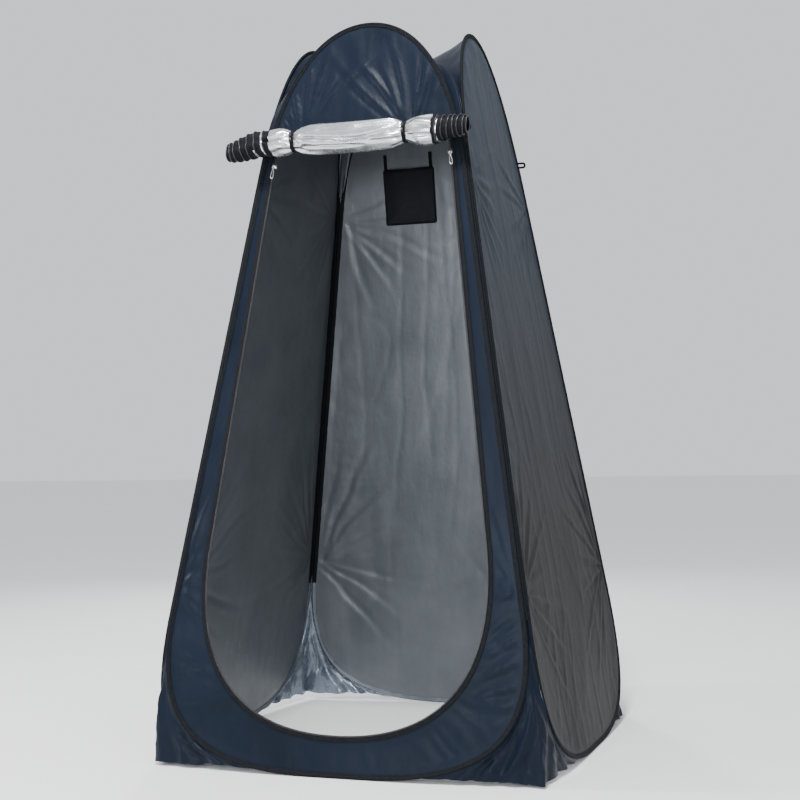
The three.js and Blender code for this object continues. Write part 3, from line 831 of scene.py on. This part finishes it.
# ---- gussets: loose cloth that fills the corners between the hoops' feet and the ground ----
def add_gusset(wall, side, columns, rows):
    """Half of a corner's gusset, between a hoop's foot and the crease from its corner to the ground."""
    index = WALLS.index(wall)
    line = hoop_right_half()
    line = line[(line[:, 0] > 0.215) & (line[:, 1] < slant(GUSSET_TOP))]
    line = line[np.argsort(line[:, 1])][::-1]
    even = np.linspace(0, 1, rows)
    run = distances(line)
    edge = np.stack([np.interp(even * run[-1], run, line[:, k]) for k in (0, 1)], -1)
    edge_points = to_tent(side * edge[:, 0], edge[:, 1], MID_LAYER - 1 * MM, wall)
    turn = math.pi / 2 * index
    corner_x, corner_y = side, -1
    sx = round(corner_x * math.cos(turn) - corner_y * math.sin(turn))
    sy = round(corner_x * math.sin(turn) + corner_y * math.cos(turn))
    corner = next(name for name, place in CORNERS.items() if place == (sx, sy))
    seed = 140 + 10 * list(CORNERS).index(corner)
    lifted = 16 * MM if corner == "back_left" else 2 * MM
    top_out = HALF_BASE - LEAN_SLOPE * GUSSET_TOP - 2 * MM
    top = np.array([sx * top_out, sy * top_out, GUSSET_TOP])
    foot = np.array([sx * GUSSET_FOOT, sy * GUSSET_FOOT, lifted])
    crease = top + (foot - top) * even[:, None]
    u = np.linspace(0, 1, columns)
    base = edge_points[:, None] + (crease - edge_points)[:, None] * u[None, :, None]
    # a field that runs on from this half to the other one across the crease
    across = (u[None] - 1) * side * even[:, None]
    down = even[:, None] * np.ones((1, columns))
    width = np.linalg.norm(crease - edge_points, axis=1)
    loose = fade(u, 0, 0.3)[None] * fade(width, 10 * MM, 110 * MM)[:, None]
    field = 9 * MM * swell(across * 2.0 + 5, down * 2.2 + across, seed)
    field += 8 * MM * creases(across * 3.2 + down * 1.5, down * 3.0 - across * 2, seed + 1, 2)
    field += 3.0 * MM * creases(across * 7 - down * 4, down * 6 + across * 3, seed + 2, 2.5)
    field += 1.0 * MM * creases(across * 15 + down * 6, down * 12 - across * 6, seed + 3, 2)
    field += 5 * MM * loose * np.sin(across * 26 + 3 * swell(down * 3, across, seed + 4)) * fade(down, 0.5, 1)
    out = wall_normal(wall)
    diagonal = np.array([sx, sy, 0.15]) / math.sqrt(2.02)
    lean = fade(u, 0.45, 1.0)[None, :, None]
    direction = out * (1 - lean) + diagonal * lean
    points = base + direction * (field * loose)[..., None]
    hem = even[:, None] ** 6
    points[..., 2] += hem * loose * 4 * MM * (1 + swell(across * 9, 2, seed + 6))
    points[..., 2] = np.maximum(points[..., 2], 1.2 * MM)
    triangles = grid_triangles(rows, columns)
    flat_points = points.reshape(-1, 3)
    normals = point_normals(flat_points, triangles)
    if (normals @ out).sum() < 0:
        triangles = triangles[:, ::-1]
        normals = -normals
    label = "right" if side > 0 else "left"
    anchor = to_tent(0, slant(GUSSET_ANCHOR), MID_LAYER, wall)
    # the flat pattern: the smooth surface unrolled, then enlarged to have the cloth that the crumples take
    hoop_flat, crease_flat = unrolled(edge_points, crease)
    pattern = (hoop_flat[:, None] + (crease_flat - hoop_flat)[:, None] * u[None, :, None]).reshape(-1, 2)
    pattern *= math.sqrt(surface_area(flat_points, triangles) / flat_area(pattern, triangles))
    # The photograph shows no seam across a gusset.
    upper = (triangles // columns).min(1) < rows // 2
    for part, chosen in (("upper", upper), ("lower", ~upper)):
        used, faces = np.unique(triangles[chosen], return_inverse=True)
        name = f"{wall}_gusset_cloth_{label}_{part}"
        made = cloth(name, flat_points[used], faces.reshape(-1, 3), NAVY, GUSSET_LINING, normals[used])
        place_piece(made, BODY[wall], f"{wall}_gusset_{label}")
        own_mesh(made)
        declare_sheet(pattern, triangles[chosen])


spacing = WALL_GRID
whole, cut_for_door = wall_pattern(spacing, False), wall_pattern(spacing, True)
for wall in WALLS:
    add_binding(wall, BINDING_GRID)
    add_wall(wall, cut_for_door if wall == "front" else whole)
    for side in (-1, 1):
        add_gusset(wall, side, GUSSET_COLUMNS, GUSSET_ROWS)
for corner in CORNERS:
    add_corner_seam(corner)
add_roofs(ROOF_COLUMNS, ROOF_ROWS)


# ---- small solid shapes in a wall's frame ----
def strap(name, path, across, up, width, thick, material, closed=False):
    """A flat tape with rounded edges along a path; across and up are its directions at each point."""
    corners = [(-1, -0.5), (-0.9, -1), (0.9, -1), (1, -0.5), (1, 0.5), (0.9, 1), (-0.9, 1), (-1, 0.5)]
    shape = np.array(corners) * [width / 2, thick / 2]
    rings = path[:, None] + across[:, None] * shape[None, :, 0, None] + up[:, None] * shape[None, :, 1, None]
    run = distances(path)
    uv = np.stack(np.broadcast_arrays(run[:, None], shape[None, :, 0] / width + 0.5), -1).reshape(-1, 2)
    return tube(name, rings, material, closed, uv)


def wall_strap(name, wall, line, lift, width, thick, material, closed=False):
    """A tape lying on a wall along a line of its frame, lift above its inner plane."""
    lift = np.broadcast_to(lift, (len(line),))
    normal = left_normals(line)
    path = to_tent(line[:, 0], line[:, 1], lift, wall)
    across = to_tent(line[:, 0] + normal[:, 0], line[:, 1] + normal[:, 1], lift, wall) - path
    up = np.broadcast_to(wall_normal(wall), path.shape)
    return strap(name, path, across, up, width, thick, material, closed)


def bevelled(outline, low, high, bevel):
    """A plate with chamfered rims: its points and faces. The outline is convex and anticlockwise."""
    outline = np.asarray(outline, float)
    middle = outline.mean(0)
    away = outline - middle
    small = middle + away * (1 - bevel / np.linalg.norm(away, axis=1))[:, None]
    levels = [(small, low), (outline, low + bevel), (outline, high - bevel), (small, high)]
    points = np.concatenate([np.column_stack([line, np.full(len(line), z)]) for line, z in levels])
    n = len(outline)
    faces = [list(range(n))[::-1], list(range(3 * n, 4 * n))]
    for k in range(3):
        for i in range(n):
            j = (i + 1) % n
            faces.append([k * n + i, k * n + j, (k + 1) * n + j, (k + 1) * n + i])
    return points, faces


def windowed(outer, inner, low, high, bevel):
    """A plate with a window and rounded rims. Both outlines have the same number of points."""
    outer, inner = np.asarray(outer, float), np.asarray(inner, float)
    off = (inner - outer) / np.linalg.norm(inner - outer, axis=1)[:, None]
    loops = [
        (outer, low + bevel), (outer, high - bevel), (outer + off * bevel, high), (inner - off * bevel, high),
        (inner, high - bevel), (inner, low + bevel), (inner - off * bevel, low), (outer + off * bevel, low),
    ]  # fmt: skip
    points = np.concatenate([np.column_stack([line, np.full(len(line), z)]) for line, z in loops])
    n, rounds = len(outer), len(loops)
    faces = []
    for k in range(rounds):
        for i in range(n):
            j, m = (i + 1) % n, (k + 1) % rounds
            faces.append([k * n + i, k * n + j, m * n + j, m * n + i])
    return points, faces


def merged(parts):
    points, faces, at = [], [], 0
    for some_points, some_faces in parts:
        points.append(some_points)
        faces += [[i + at for i in face] for face in some_faces]
        at += len(some_points)
    return np.concatenate(points), faces


# ---- the doorway's zip ----
def add_door_zip():
    line = door_line(4 * MM)
    outward = -left_normals(line)
    tape_line = line + outward * 6.3 * MM
    run = np.arange(len(line)) * 4 * MM
    lift = (5.55 + 0.25 * swell(run / 0.03, 0, 200)) * MM
    taped = wall_strap("door_zip_tape", "front", tape_line, lift, 12.5 * MM, 1.1 * MM, ZIP_TAPE)
    place_piece(taped, "front_panel", "door_zip")
    pitch = 1.9 * MM
    line = door_line(pitch)
    inward = left_normals(line)
    along = np.stack([inward[:, 1], -inward[:, 0]], -1)
    block = np.array([(a, b, c) for c in (-1, 1) for b in (-1, 1) for a in (-1, 1)]) * [0.6, 2.3, 1.5] * MM
    shrink = np.where(block[:, 1:2] > 0, 0.75, 1.0)
    block = block * np.concatenate([shrink, np.ones_like(shrink), shrink], 1)
    flat = line[:, None] + along[:, None] * block[None, :, 0, None]
    flat = flat + inward[:, None] * (block[None, :, 1, None] + 0.6 * MM)
    points = to_tent(flat[..., 0], flat[..., 1], 5.6 * MM + block[None, :, 2], "front").reshape(-1, 3)
    sides = [(0, 2, 3, 1), (4, 5, 7, 6), (0, 1, 5, 4), (2, 6, 7, 3), (0, 4, 6, 2), (1, 3, 7, 5)]
    faces = [[8 * i + k for k in side] for i in range(len(line)) for side in sides]
    teeth = make_mesh("door_zip_teeth", points, facing_out(points, faces), [COIL])
    place_piece(teeth, "front_panel")
    x = np.linspace(-0.236, 0.236, 90)
    top = slant(DOOR_TOP) + 6.5 * MM + 0.4 * MM * swell(x / 0.03, 0, 205)
    lift = (5.9 + 0.5 * swell(x / 0.025, 3, 206)) * MM
    line = np.stack([x, top], -1)
    seam = wall_strap("door_seam_binding", "front", line, lift, 10.5 * MM, 1.3 * MM, BINDING)
    place_piece(seam, "front_panel", "door_seam_tape")


# ---- the door, rolled up: a spiral of its real outline ----
CORE, ROLL_RADIUS = 6 * MM, 36 * MM
DOOR_LENGTH = slant(DOOR_TOP) - slant(DOOR_SILL)
HANGING = 39 * MM  # what still hangs between the seam and the roll
LEAVES_AT = math.radians(189)  # where it leaves the roll, from straight out, turning upwards
TIES = {"left": -0.168, "right": 0.136}
TIE_RADIUS = 26.5 * MM
ROLL_FOLDS = (
    (-0.168, 0.26, -0.10, -0.75, 0.17), (-0.168, 0.20, 0.55, 0.25, 0.13), (-0.168, 0.22, -0.80, -1.15, 0.15),
    (0.136, -0.24, -0.15, -0.85, 0.17), (0.136, -0.18, 0.50, 0.20, 0.13), (0.136, -0.20, -0.95, -0.55, 0.14),
    (0.136, 0.10, 0.30, -0.35, 0.16), (0.136, 0.10, -0.50, -0.90, 0.15), (-0.168, -0.10, 0.25, -0.30, 0.16),
)  # fmt: skip
BAND = 19 * MM  # width of the zip tape along the door's edge


def door_half(s):
    """Half the door's width at a distance above its sill."""
    line = door_line(6 * MM)
    right = line[line[:, 0] >= 0]
    return np.interp(s + slant(DOOR_SILL), right[:, 1], right[:, 0])


def settled(x):
    """Where the door's width ends up along the roll: its right end is pushed together."""
    return np.where(x > 0.18, 0.18 + (x - 0.18) * 0.62, np.where(x < -0.2, -0.2 + (x + 0.2) * 0.93, x))


def roll_scale(x, angle):
    """The roll's outer radius, as a share of its full one, in a direction round it."""
    belly = 1.09 - 0.10 * ((x + 0.016) / 0.15) ** 2
    out = np.where(x < 0, 0.98 + 0.22 * fade(-x, 0.24, 0.34), 1.0 + 0.20 * fade(x, 0.2, 0.28))
    size = np.where((x > TIES["left"]) & (x < TIES["right"]), belly, out)
    size = size * (1 + 0.05 * swell(x / 0.045, 1, 210))
    folds, fine = 0, 0
    for k in (2, 3, 5, 7):
        folds = folds + np.cos(k * angle + 5 * swell(x * 3.1, k, 212)) / k**0.6
    for k in (8, 11, 14):
        fine = fine + np.cos(k * angle + 7 * swell(x * 7.0, k, 213)) / 3
    ridged = (1 - np.abs(folds / 2.2).clip(0, 1)) ** 2
    size = size * (1 + 0.20 * (ridged - 0.44) + 0.014 * fine)
    # folds drawn from one tie towards the other: where each starts, and its angles there and at the far end
    for start, reach, near_angle, far_angle, depth in ROLL_FOLDS:
        way = (x - start) / reach
        off = angle - (near_angle + (far_angle - near_angle) * way + 0.12 * swell(x * 14, start * 50, 218))
        off = (off + math.pi) % (2 * math.pi) - math.pi
        strength = depth * fade(way, 0, 0.12) * (1 - fade(way, 0.55, 1.0))
        size = size - 1.25 * strength * (bump(off, 0, 0.15) - 0.6 * bump(off, 0.34, 0.20))
    for tie in TIES.values():
        near = np.exp(-(((x - tie) / 0.026) ** 2))
        pleats = 0.06 * np.cos(9 * angle + 3 * swell(x * 9, 2, 214))
        pleats = pleats * np.exp(-(((np.abs(x - tie) - 0.02) / 0.016) ** 2))
        size = size * (1 - near) + near * TIE_RADIUS / ROLL_RADIUS + pleats
    # the roll stays clear of the pulls, which swing up beneath it
    return np.minimum(size, 1.17 - 0.21 * bump(np.abs(x), 0.243, 0.035))


def on_roll(x, s):
    """The rolled door's points, in the front wall's frame, from places on the flat door."""
    wound = DOOR_LENGTH - HANGING
    growth = (ROLL_RADIUS**2 - CORE**2) / wound
    inner = np.minimum(s, wound)
    radius = np.sqrt(CORE**2 + growth * inner)
    angle = LEAVES_AT + (2 / growth) * (ROLL_RADIUS - radius)
    along = settled(x) + 5 * MM * swell(s / 0.06, 1, 217) * fade(np.abs(x), 0.2, 0.26)
    radius = radius * roll_scale(along, angle)
    y, z = radius * np.sin(angle), radius * np.cos(angle)
    y = y - 16 * MM * fade(-along, 0.262, 0.35) + 5 * MM * fade(along, 0.2, 0.3)
    tail = np.clip((s - wound) / HANGING, 0, 1)
    seam_y, seam_z = slant(DOOR_TOP) - slant(ROLL_HEIGHT), 7.2 * MM - ROLL_OUT
    y, z = y + (seam_y - y) * tail, z + (seam_z - z) * tail
    return along, slant(ROLL_HEIGHT) + y, ROLL_OUT + z


def add_door_roll():
    wound = DOOR_LENGTH - HANGING
    outer_start = wound - 0.43
    coarse = 4.5 * MM
    fine = 2.3 * MM
    s = np.concatenate([
        np.arange(8 * MM, outer_start, coarse), np.arange(outer_start, wound, fine),
        np.linspace(wound, DOOR_LENGTH, 8),
    ])  # fmt: skip
    columns = 170
    share = np.linspace(-1, 1, columns)
    width = door_half(s)
    x = share[None] * width[:, None]
    x, y, z = on_roll(x, s[:, None] * np.ones((1, columns)))
    points = to_tent(x, y, z, "front").reshape(-1, 3)
    triangles = grid_triangles(len(s), columns)
    band = BAND * (1 + 0.35 * swell(s / 0.09, 0, 216))
    spare = ((1 - np.abs(share))[None] * width[:, None] < band[:, None]).ravel()
    dark_end = ((x < -0.272) | (x > 0.232)).ravel()
    edged = (spare | dark_end)[triangles].all(1)
    normals = point_normals(points, triangles)
    index = int(np.argmin(np.abs(s - (wound - 0.11)))) * columns + columns // 2
    centre = to_tent(x.ravel()[index], slant(ROLL_HEIGHT), ROLL_OUT, "front")
    if normals[index] @ (points[index] - centre) < 0:
        triangles = triangles[:, ::-1]
    banded = (ZIP_TAPE, edged)
    made = cloth("rolled_door_cloth", points, triangles, SILVER, NAVY, thick=0.5 * MM, banded=banded)
    place_piece(made, "rolled_door", "door_roll")
    pattern = np.stack([share[None] * width[:, None], s[:, None] * np.ones((1, columns))], -1).reshape(-1, 2)
    declare_sheet(pattern, triangles)
    for side, label in ((-1, "left"), (1, "right")):
        t = np.arange(0.10, DOOR_LENGTH - 4 * MM, 1.6 * MM)
        x, y, z = on_roll(side * (door_half(t) - 0.5 * MM), t)
        path = to_tent(x, y, z, "front")
        beads = (1.75 + 0.25 * np.cos(np.arange(len(t)) * math.pi)) * MM
        coil = round_tube(f"door_zip_coil_{label}", path, beads, COIL, 6, (1, 0, 0))
        place_piece(coil, "rolled_door", f"door_zip_{label}")


def add_tie(label, place):
    """A tape round the roll, held by a toggle on its front."""
    turn = np.linspace(0, 2 * math.pi, 96, endpoint=False)
    radius = ROLL_RADIUS * roll_scale(np.full(len(turn), place), turn) + 1.4 * MM
    sway = 1.2 * MM * np.sin(turn + 1)
    y, z = slant(ROLL_HEIGHT) + radius * np.sin(turn), ROLL_OUT + radius * np.cos(turn)
    path = to_tent(place + sway, y, z, "front")
    out = path - to_tent(place + sway, slant(ROLL_HEIGHT), ROLL_OUT, "front")
    out /= np.linalg.norm(out, axis=1)[:, None]
    level = np.broadcast_to([1.0, 0, 0], path.shape)
    band = strap(f"roll_tie_band_{label}", path, level, out, 10 * MM, 1.5 * MM, WEBBING, closed=True)
    place_piece(band, "rolled_door", f"roll_tie_{label}")
    front = ROLL_OUT + float(radius[0]) + 4.2 * MM
    half = [(2.2, 2.4), (3, 3.4), (11.2, 3.2), (12.6, 2.2), (13, 0.4)]
    profile = [(-height, radius) for height, radius in half[::-1]] + half
    around = np.linspace(0, 2 * math.pi, 20, endpoint=False)
    middle = slant(ROLL_HEIGHT)
    rings = np.stack([
        to_tent(place + r * MM * np.cos(around), middle + h * MM, front + r * MM * np.sin(around), "front")
        for h, r in profile
    ])  # fmt: skip
    bar = tube(f"roll_toggle_bar_{label}", rings[:, ::-1], COIL)
    place_piece(bar, "rolled_door", f"roll_toggle_{label}")
    angle = np.linspace(0, 2 * math.pi, 28, endpoint=False)
    path = to_tent(
        place + 3.6 * MM * np.cos(angle), slant(ROLL_HEIGHT) + 0.6 * MM * np.sin(2 * angle),
        front - 1.2 * MM + 3.9 * MM * np.sin(angle), "front",
    )  # fmt: skip
    loop = round_tube(f"roll_toggle_loop_{label}", path, 1.1 * MM, WEBBING, 8, (0, 0, 1), closed=True)
    place_piece(loop, "rolled_door")


# ---- zip sliders and their pulls ----
def smooth_outline(half_widths, count=40):
    """A closed outline, anticlockwise, from half widths at distances below the pull's eye."""
    stations = np.array(half_widths, float)
    t = (1 - np.cos(np.linspace(0, math.pi, count))) / 2
    below = stations[0, 0] + (stations[-1, 0] - stations[0, 0]) * t
    wide = np.interp(below, stations[:, 0], stations[:, 1])
    right = np.stack([wide, -below], -1)
    left = np.stack([-wide, -below], -1)[::-1]
    return np.concatenate([left[:-1], right[:-1]])


def add_slider(label, side):
    top = np.array([DOOR_TOP_HALF, slant(DOOR_TOP)])
    low = np.array([DOOR_SIDE_HALF, slant(DOOR_SIDE)])
    down = (low - top) / np.linalg.norm(low - top)
    place = (top + down * 80 * MM) * [side, 1]
    down = down * [side, 1]
    across = np.array([-down[1], down[0]])

    def placed(points):
        points = np.asarray(points) * MM
        flat = place + across * points[:, :1] - down * points[:, 1:2]
        return to_tent(flat[:, 0], flat[:, 1], points[:, 2], "front")

    # the slider reaches 6 mm towards the doorway and 5 mm away from it
    shift = -side * 0.5
    half = [(4.6, -5.8), (5.5, 0), (5.4, 4.5), (3.6, 6.5)]
    shield = np.array(half + [(-x, y) for x, y in half[::-1]]) + [shift, 0]
    neck = np.array([(1.6, 1.5), (1.0, 5.6), (-1.0, 5.6), (-1.6, 1.5), (0, -1.0)]) + [shift, 0]
    solid = merged([
        bevelled(shield, 0.8, 2.8, 0.5), bevelled(shield, 7.3, 9.3, 0.6), bevelled(neck, 2.6, 7.5, 0.1),
    ])  # fmt: skip
    points = placed(solid[0])
    body = make_mesh(f"zip_slider_body_{label}", points, facing_out(points, solid[1]), [ZINC])
    place_piece(body, f"slider_{label}", f"zip_slider_{label}")
    arc = np.linspace(0, math.pi, 14)
    bail_path = placed(np.stack([np.full(14, shift), 3.6 * np.cos(arc), 8.9 + 3.6 * np.sin(arc)], -1))
    bail = round_tube(f"zip_slider_bail_{label}", bail_path, 0.75 * MM, ZINC, 10, (1, 0, 0))
    place_piece(bail, f"slider_{label}")
    outer = smooth_outline(
        [(5.2, 0.6), (6.5, 1.9), (12, 2.8), (20, 4.0), (27, 4.8), (31, 4.7), (34.5, 3.2), (36, 0.7)]
    )
    inner = smooth_outline([(9.5, 0.1), (12, 0.9), (20, 2.0), (27, 2.7), (30.5, 2.4), (32.5, 0.3)])
    tear = windowed(outer, inner, 10.1, 11.7, 0.4)
    points = placed(tear[0])
    pull = make_mesh(f"zip_pull_tear_{label}", points, facing_out(points, tear[1]), [ZINC])
    place_piece(pull, f"pull_{label}", f"zip_pull_{label}")
    angle = np.linspace(0, 2 * math.pi, 26, endpoint=False)
    eye_path = placed(np.stack([1.9 * np.sin(angle), -2.6 + 3.1 * np.cos(angle), np.full(26, 10.9)], -1))
    eye = round_tube(f"zip_pull_eye_{label}", eye_path, 0.75 * MM, ZINC, 8, wall_normal("front"), closed=True)
    place_piece(eye, f"pull_{label}")


# ---- the pocket, its straps and the guy loops ----
def back_cloth(x, y):
    """How far the back wall's cloth is above its inner plane, seen from outside."""
    x, y = np.broadcast_arrays(np.asarray(x, float), np.asarray(y, float))
    run, gap = nearest_on_hoop(x.ravel(), y.ravel())
    relief = RELIEF["back"](x.ravel(), y.ravel(), run, gap) * fade(gap, *CALM_EDGE)
    return (MID_LAYER + relief).reshape(x.shape)


def add_pocket():
    across, up = np.meshgrid(np.linspace(0, 1, POCKET_COLUMNS), np.linspace(0, 1, POCKET_ROWS))
    x = POCKET_LEFT + POCKET_WIDTH * across
    low, high = slant(POCKET_LOW), slant(POCKET_HIGH)
    y = low + (high - low) * up - 2.5 * MM * np.sin(math.pi * across) * fade(up, 0.6, 1)
    edge = np.minimum(np.minimum(across, 1 - across), up * 1.02)
    bulge = fade(edge, 0, 0.28) * (4.5 + 4.5 * up**2) * MM
    folds = 1.4 * MM * creases(across * 5 + up, up * 3 - across, 230, 2)
    folds = folds + 1.2 * MM * swell(across * 3, up * 4, 231)
    z = back_cloth(x, y) - CLOTH - 1.2 * MM - bulge - folds * fade(edge, 0, 0.12)
    points = to_tent(x, y, z, "back").reshape(-1, 3)
    triangles = grid_triangles(POCKET_ROWS, POCKET_COLUMNS)
    if (point_normals(points, triangles) @ wall_normal("back")).sum() > 0:
        triangles = triangles[:, ::-1]
    made = cloth("pocket_cloth", points, triangles, POCKET, POCKET, thick=0.8 * MM)
    place_piece(made, "back_panel", "pocket")
    grid = points.reshape(POCKET_ROWS, POCKET_COLUMNS, 3)
    declare_sheet(laid_flat(grid), triangles)
    inward = -wall_normal("back")
    rims = {"hem": grid[-1], "side_left": grid[:, 0], "side_right": grid[:, -1], "foot": grid[0]}
    for label, path in rims.items():
        run = distances(path)
        along = np.gradient(path, axis=0)
        level = np.cross(along / np.linalg.norm(along, axis=1)[:, None], inward)
        middle = path + inward * (0.2 + 0.3 * swell(run / 0.02, 0, 240)[:, None]) * MM
        upward = np.broadcast_to(inward, path.shape)
        wide = 9 * MM if label == "hem" else 6 * MM
        rim = strap(f"pocket_binding_{label}", middle, level, upward, wide, 1.8 * MM, BINDING)
        place_piece(rim, "back_panel")
    for label, place in (("left", -0.013), ("right", 0.127)):
        y = np.linspace(slant(1.600), slant(1.650), 16)
        lift = back_cloth(place, y) - 2.4 * MM - 0.5 * MM * swell(y / 0.02, 0, 245)
        line = np.stack([np.full(16, place), y], -1)
        tape_strip = wall_strap(f"pocket_strap_tape_{label}", "back", line, lift, 10 * MM, 1.1 * MM, WEBBING)
        place_piece(tape_strip, "back_panel", f"pocket_strap_{label}")


def add_guy_loop(wall, label, side):
    y, edge = slant(1.590), edge_half(slant(1.590))
    arc = np.linspace(-math.pi / 2, math.pi / 2, 22)
    root, tip = edge - 8.5 * MM, edge + 17 * MM
    start = [(x, -6 * MM) for x in np.linspace(root, tip, 8)[:-1]]
    bend = [(tip + 6 * MM * math.cos(a), 6 * MM * math.sin(a)) for a in arc]
    end = [(x, 6 * MM) for x in np.linspace(tip, root, 8)[1:]]
    line = np.array([*start, *bend, *end]) * [side, 1] + [0, y]
    lift = 9.0 * MM + 0.5 * MM * np.linspace(-1, 1, len(line))
    made = wall_strap(f"guy_loop_tape_{label}", wall, line, lift, 6 * MM, 1.4 * MM, WEBBING)
    place_piece(made, BODY[wall], f"guy_loop_{label}")


add_door_zip()
add_door_roll()
for label, place in TIES.items():
    add_tie(label, place)
for label, side in (("left", -1), ("right", 1)):
    add_slider(label, side)
add_pocket()
for wall, label, side in (
    ("front", "front_left", -1), ("front", "front_right", 1),
    ("back", "back_right", -1), ("back", "back_left", 1),
):  # fmt: skip
    add_guy_loop(wall, label, side)


# ---- floor and light ----
def surface(name, colour, rough):
    n = Nodes(name)
    grain = n.noise(n.coordinates("Object", (1, 1, 1)), 3.0, 2.0)
    darker = tuple(0.985 * c for c in colour)
    n.link(n.ramp(grain, [(0.3, darker), (0.7, colour)]), n.shader.inputs["Base Color"])
    n.shade(Roughness=rough)
    return n.material


def add_floor():
    mesh = bpy.data.meshes.new("floor")
    reach = 30
    corners = [(-reach, -reach, 0), (reach, -reach, 0), (reach, reach, 0), (-reach, reach, 0)]
    mesh.from_pydata(corners, [], [(0, 1, 2, 3)])
    mesh.materials.append(surface("floor_paint", (0.86, 0.86, 0.86), 0.9))
    floor = bpy.data.objects.new("floor", mesh)
    bpy.context.scene.collection.objects.link(floor)


def add_light(name, place, target, size, power, colour=(1, 1, 1)):
    data = bpy.data.lights.new(name, "AREA")
    data.shape, data.size, data.energy, data.color = "DISK", size, power, colour
    light = bpy.data.objects.new(name, data)
    bpy.context.scene.collection.objects.link(light)
    light.location = place
    light.rotation_euler = (Vector(target) - Vector(place)).to_track_quat("-Z", "Y").to_euler()


def add_world():
    world = bpy.data.worlds.new("studio")
    bpy.context.scene.world = world
    world.use_nodes = True
    background = world.node_tree.nodes["Background"]
    background.inputs["Color"].default_value = (0.93, 0.96, 1.0, 1)
    background.inputs["Strength"].default_value = 1.0


add_floor()
add_world()
add_light("key", (0.35, -1.9, 4.2), (0, -0.3, 0.9), 0.6, 230)
add_light("doorway_fill", (0.1, -4.2, 1.3), (0.05, 0.5, 1.0), 0.8, 80)
add_light("side_fill", (-3.4, -1.2, 2.0), (0, -0.3, 0.9), 0.6, 90)
add_light("rear_fill", (-1.8, 3.9, 2.6), (0, 0.3, 1.0), 0.7, 80)
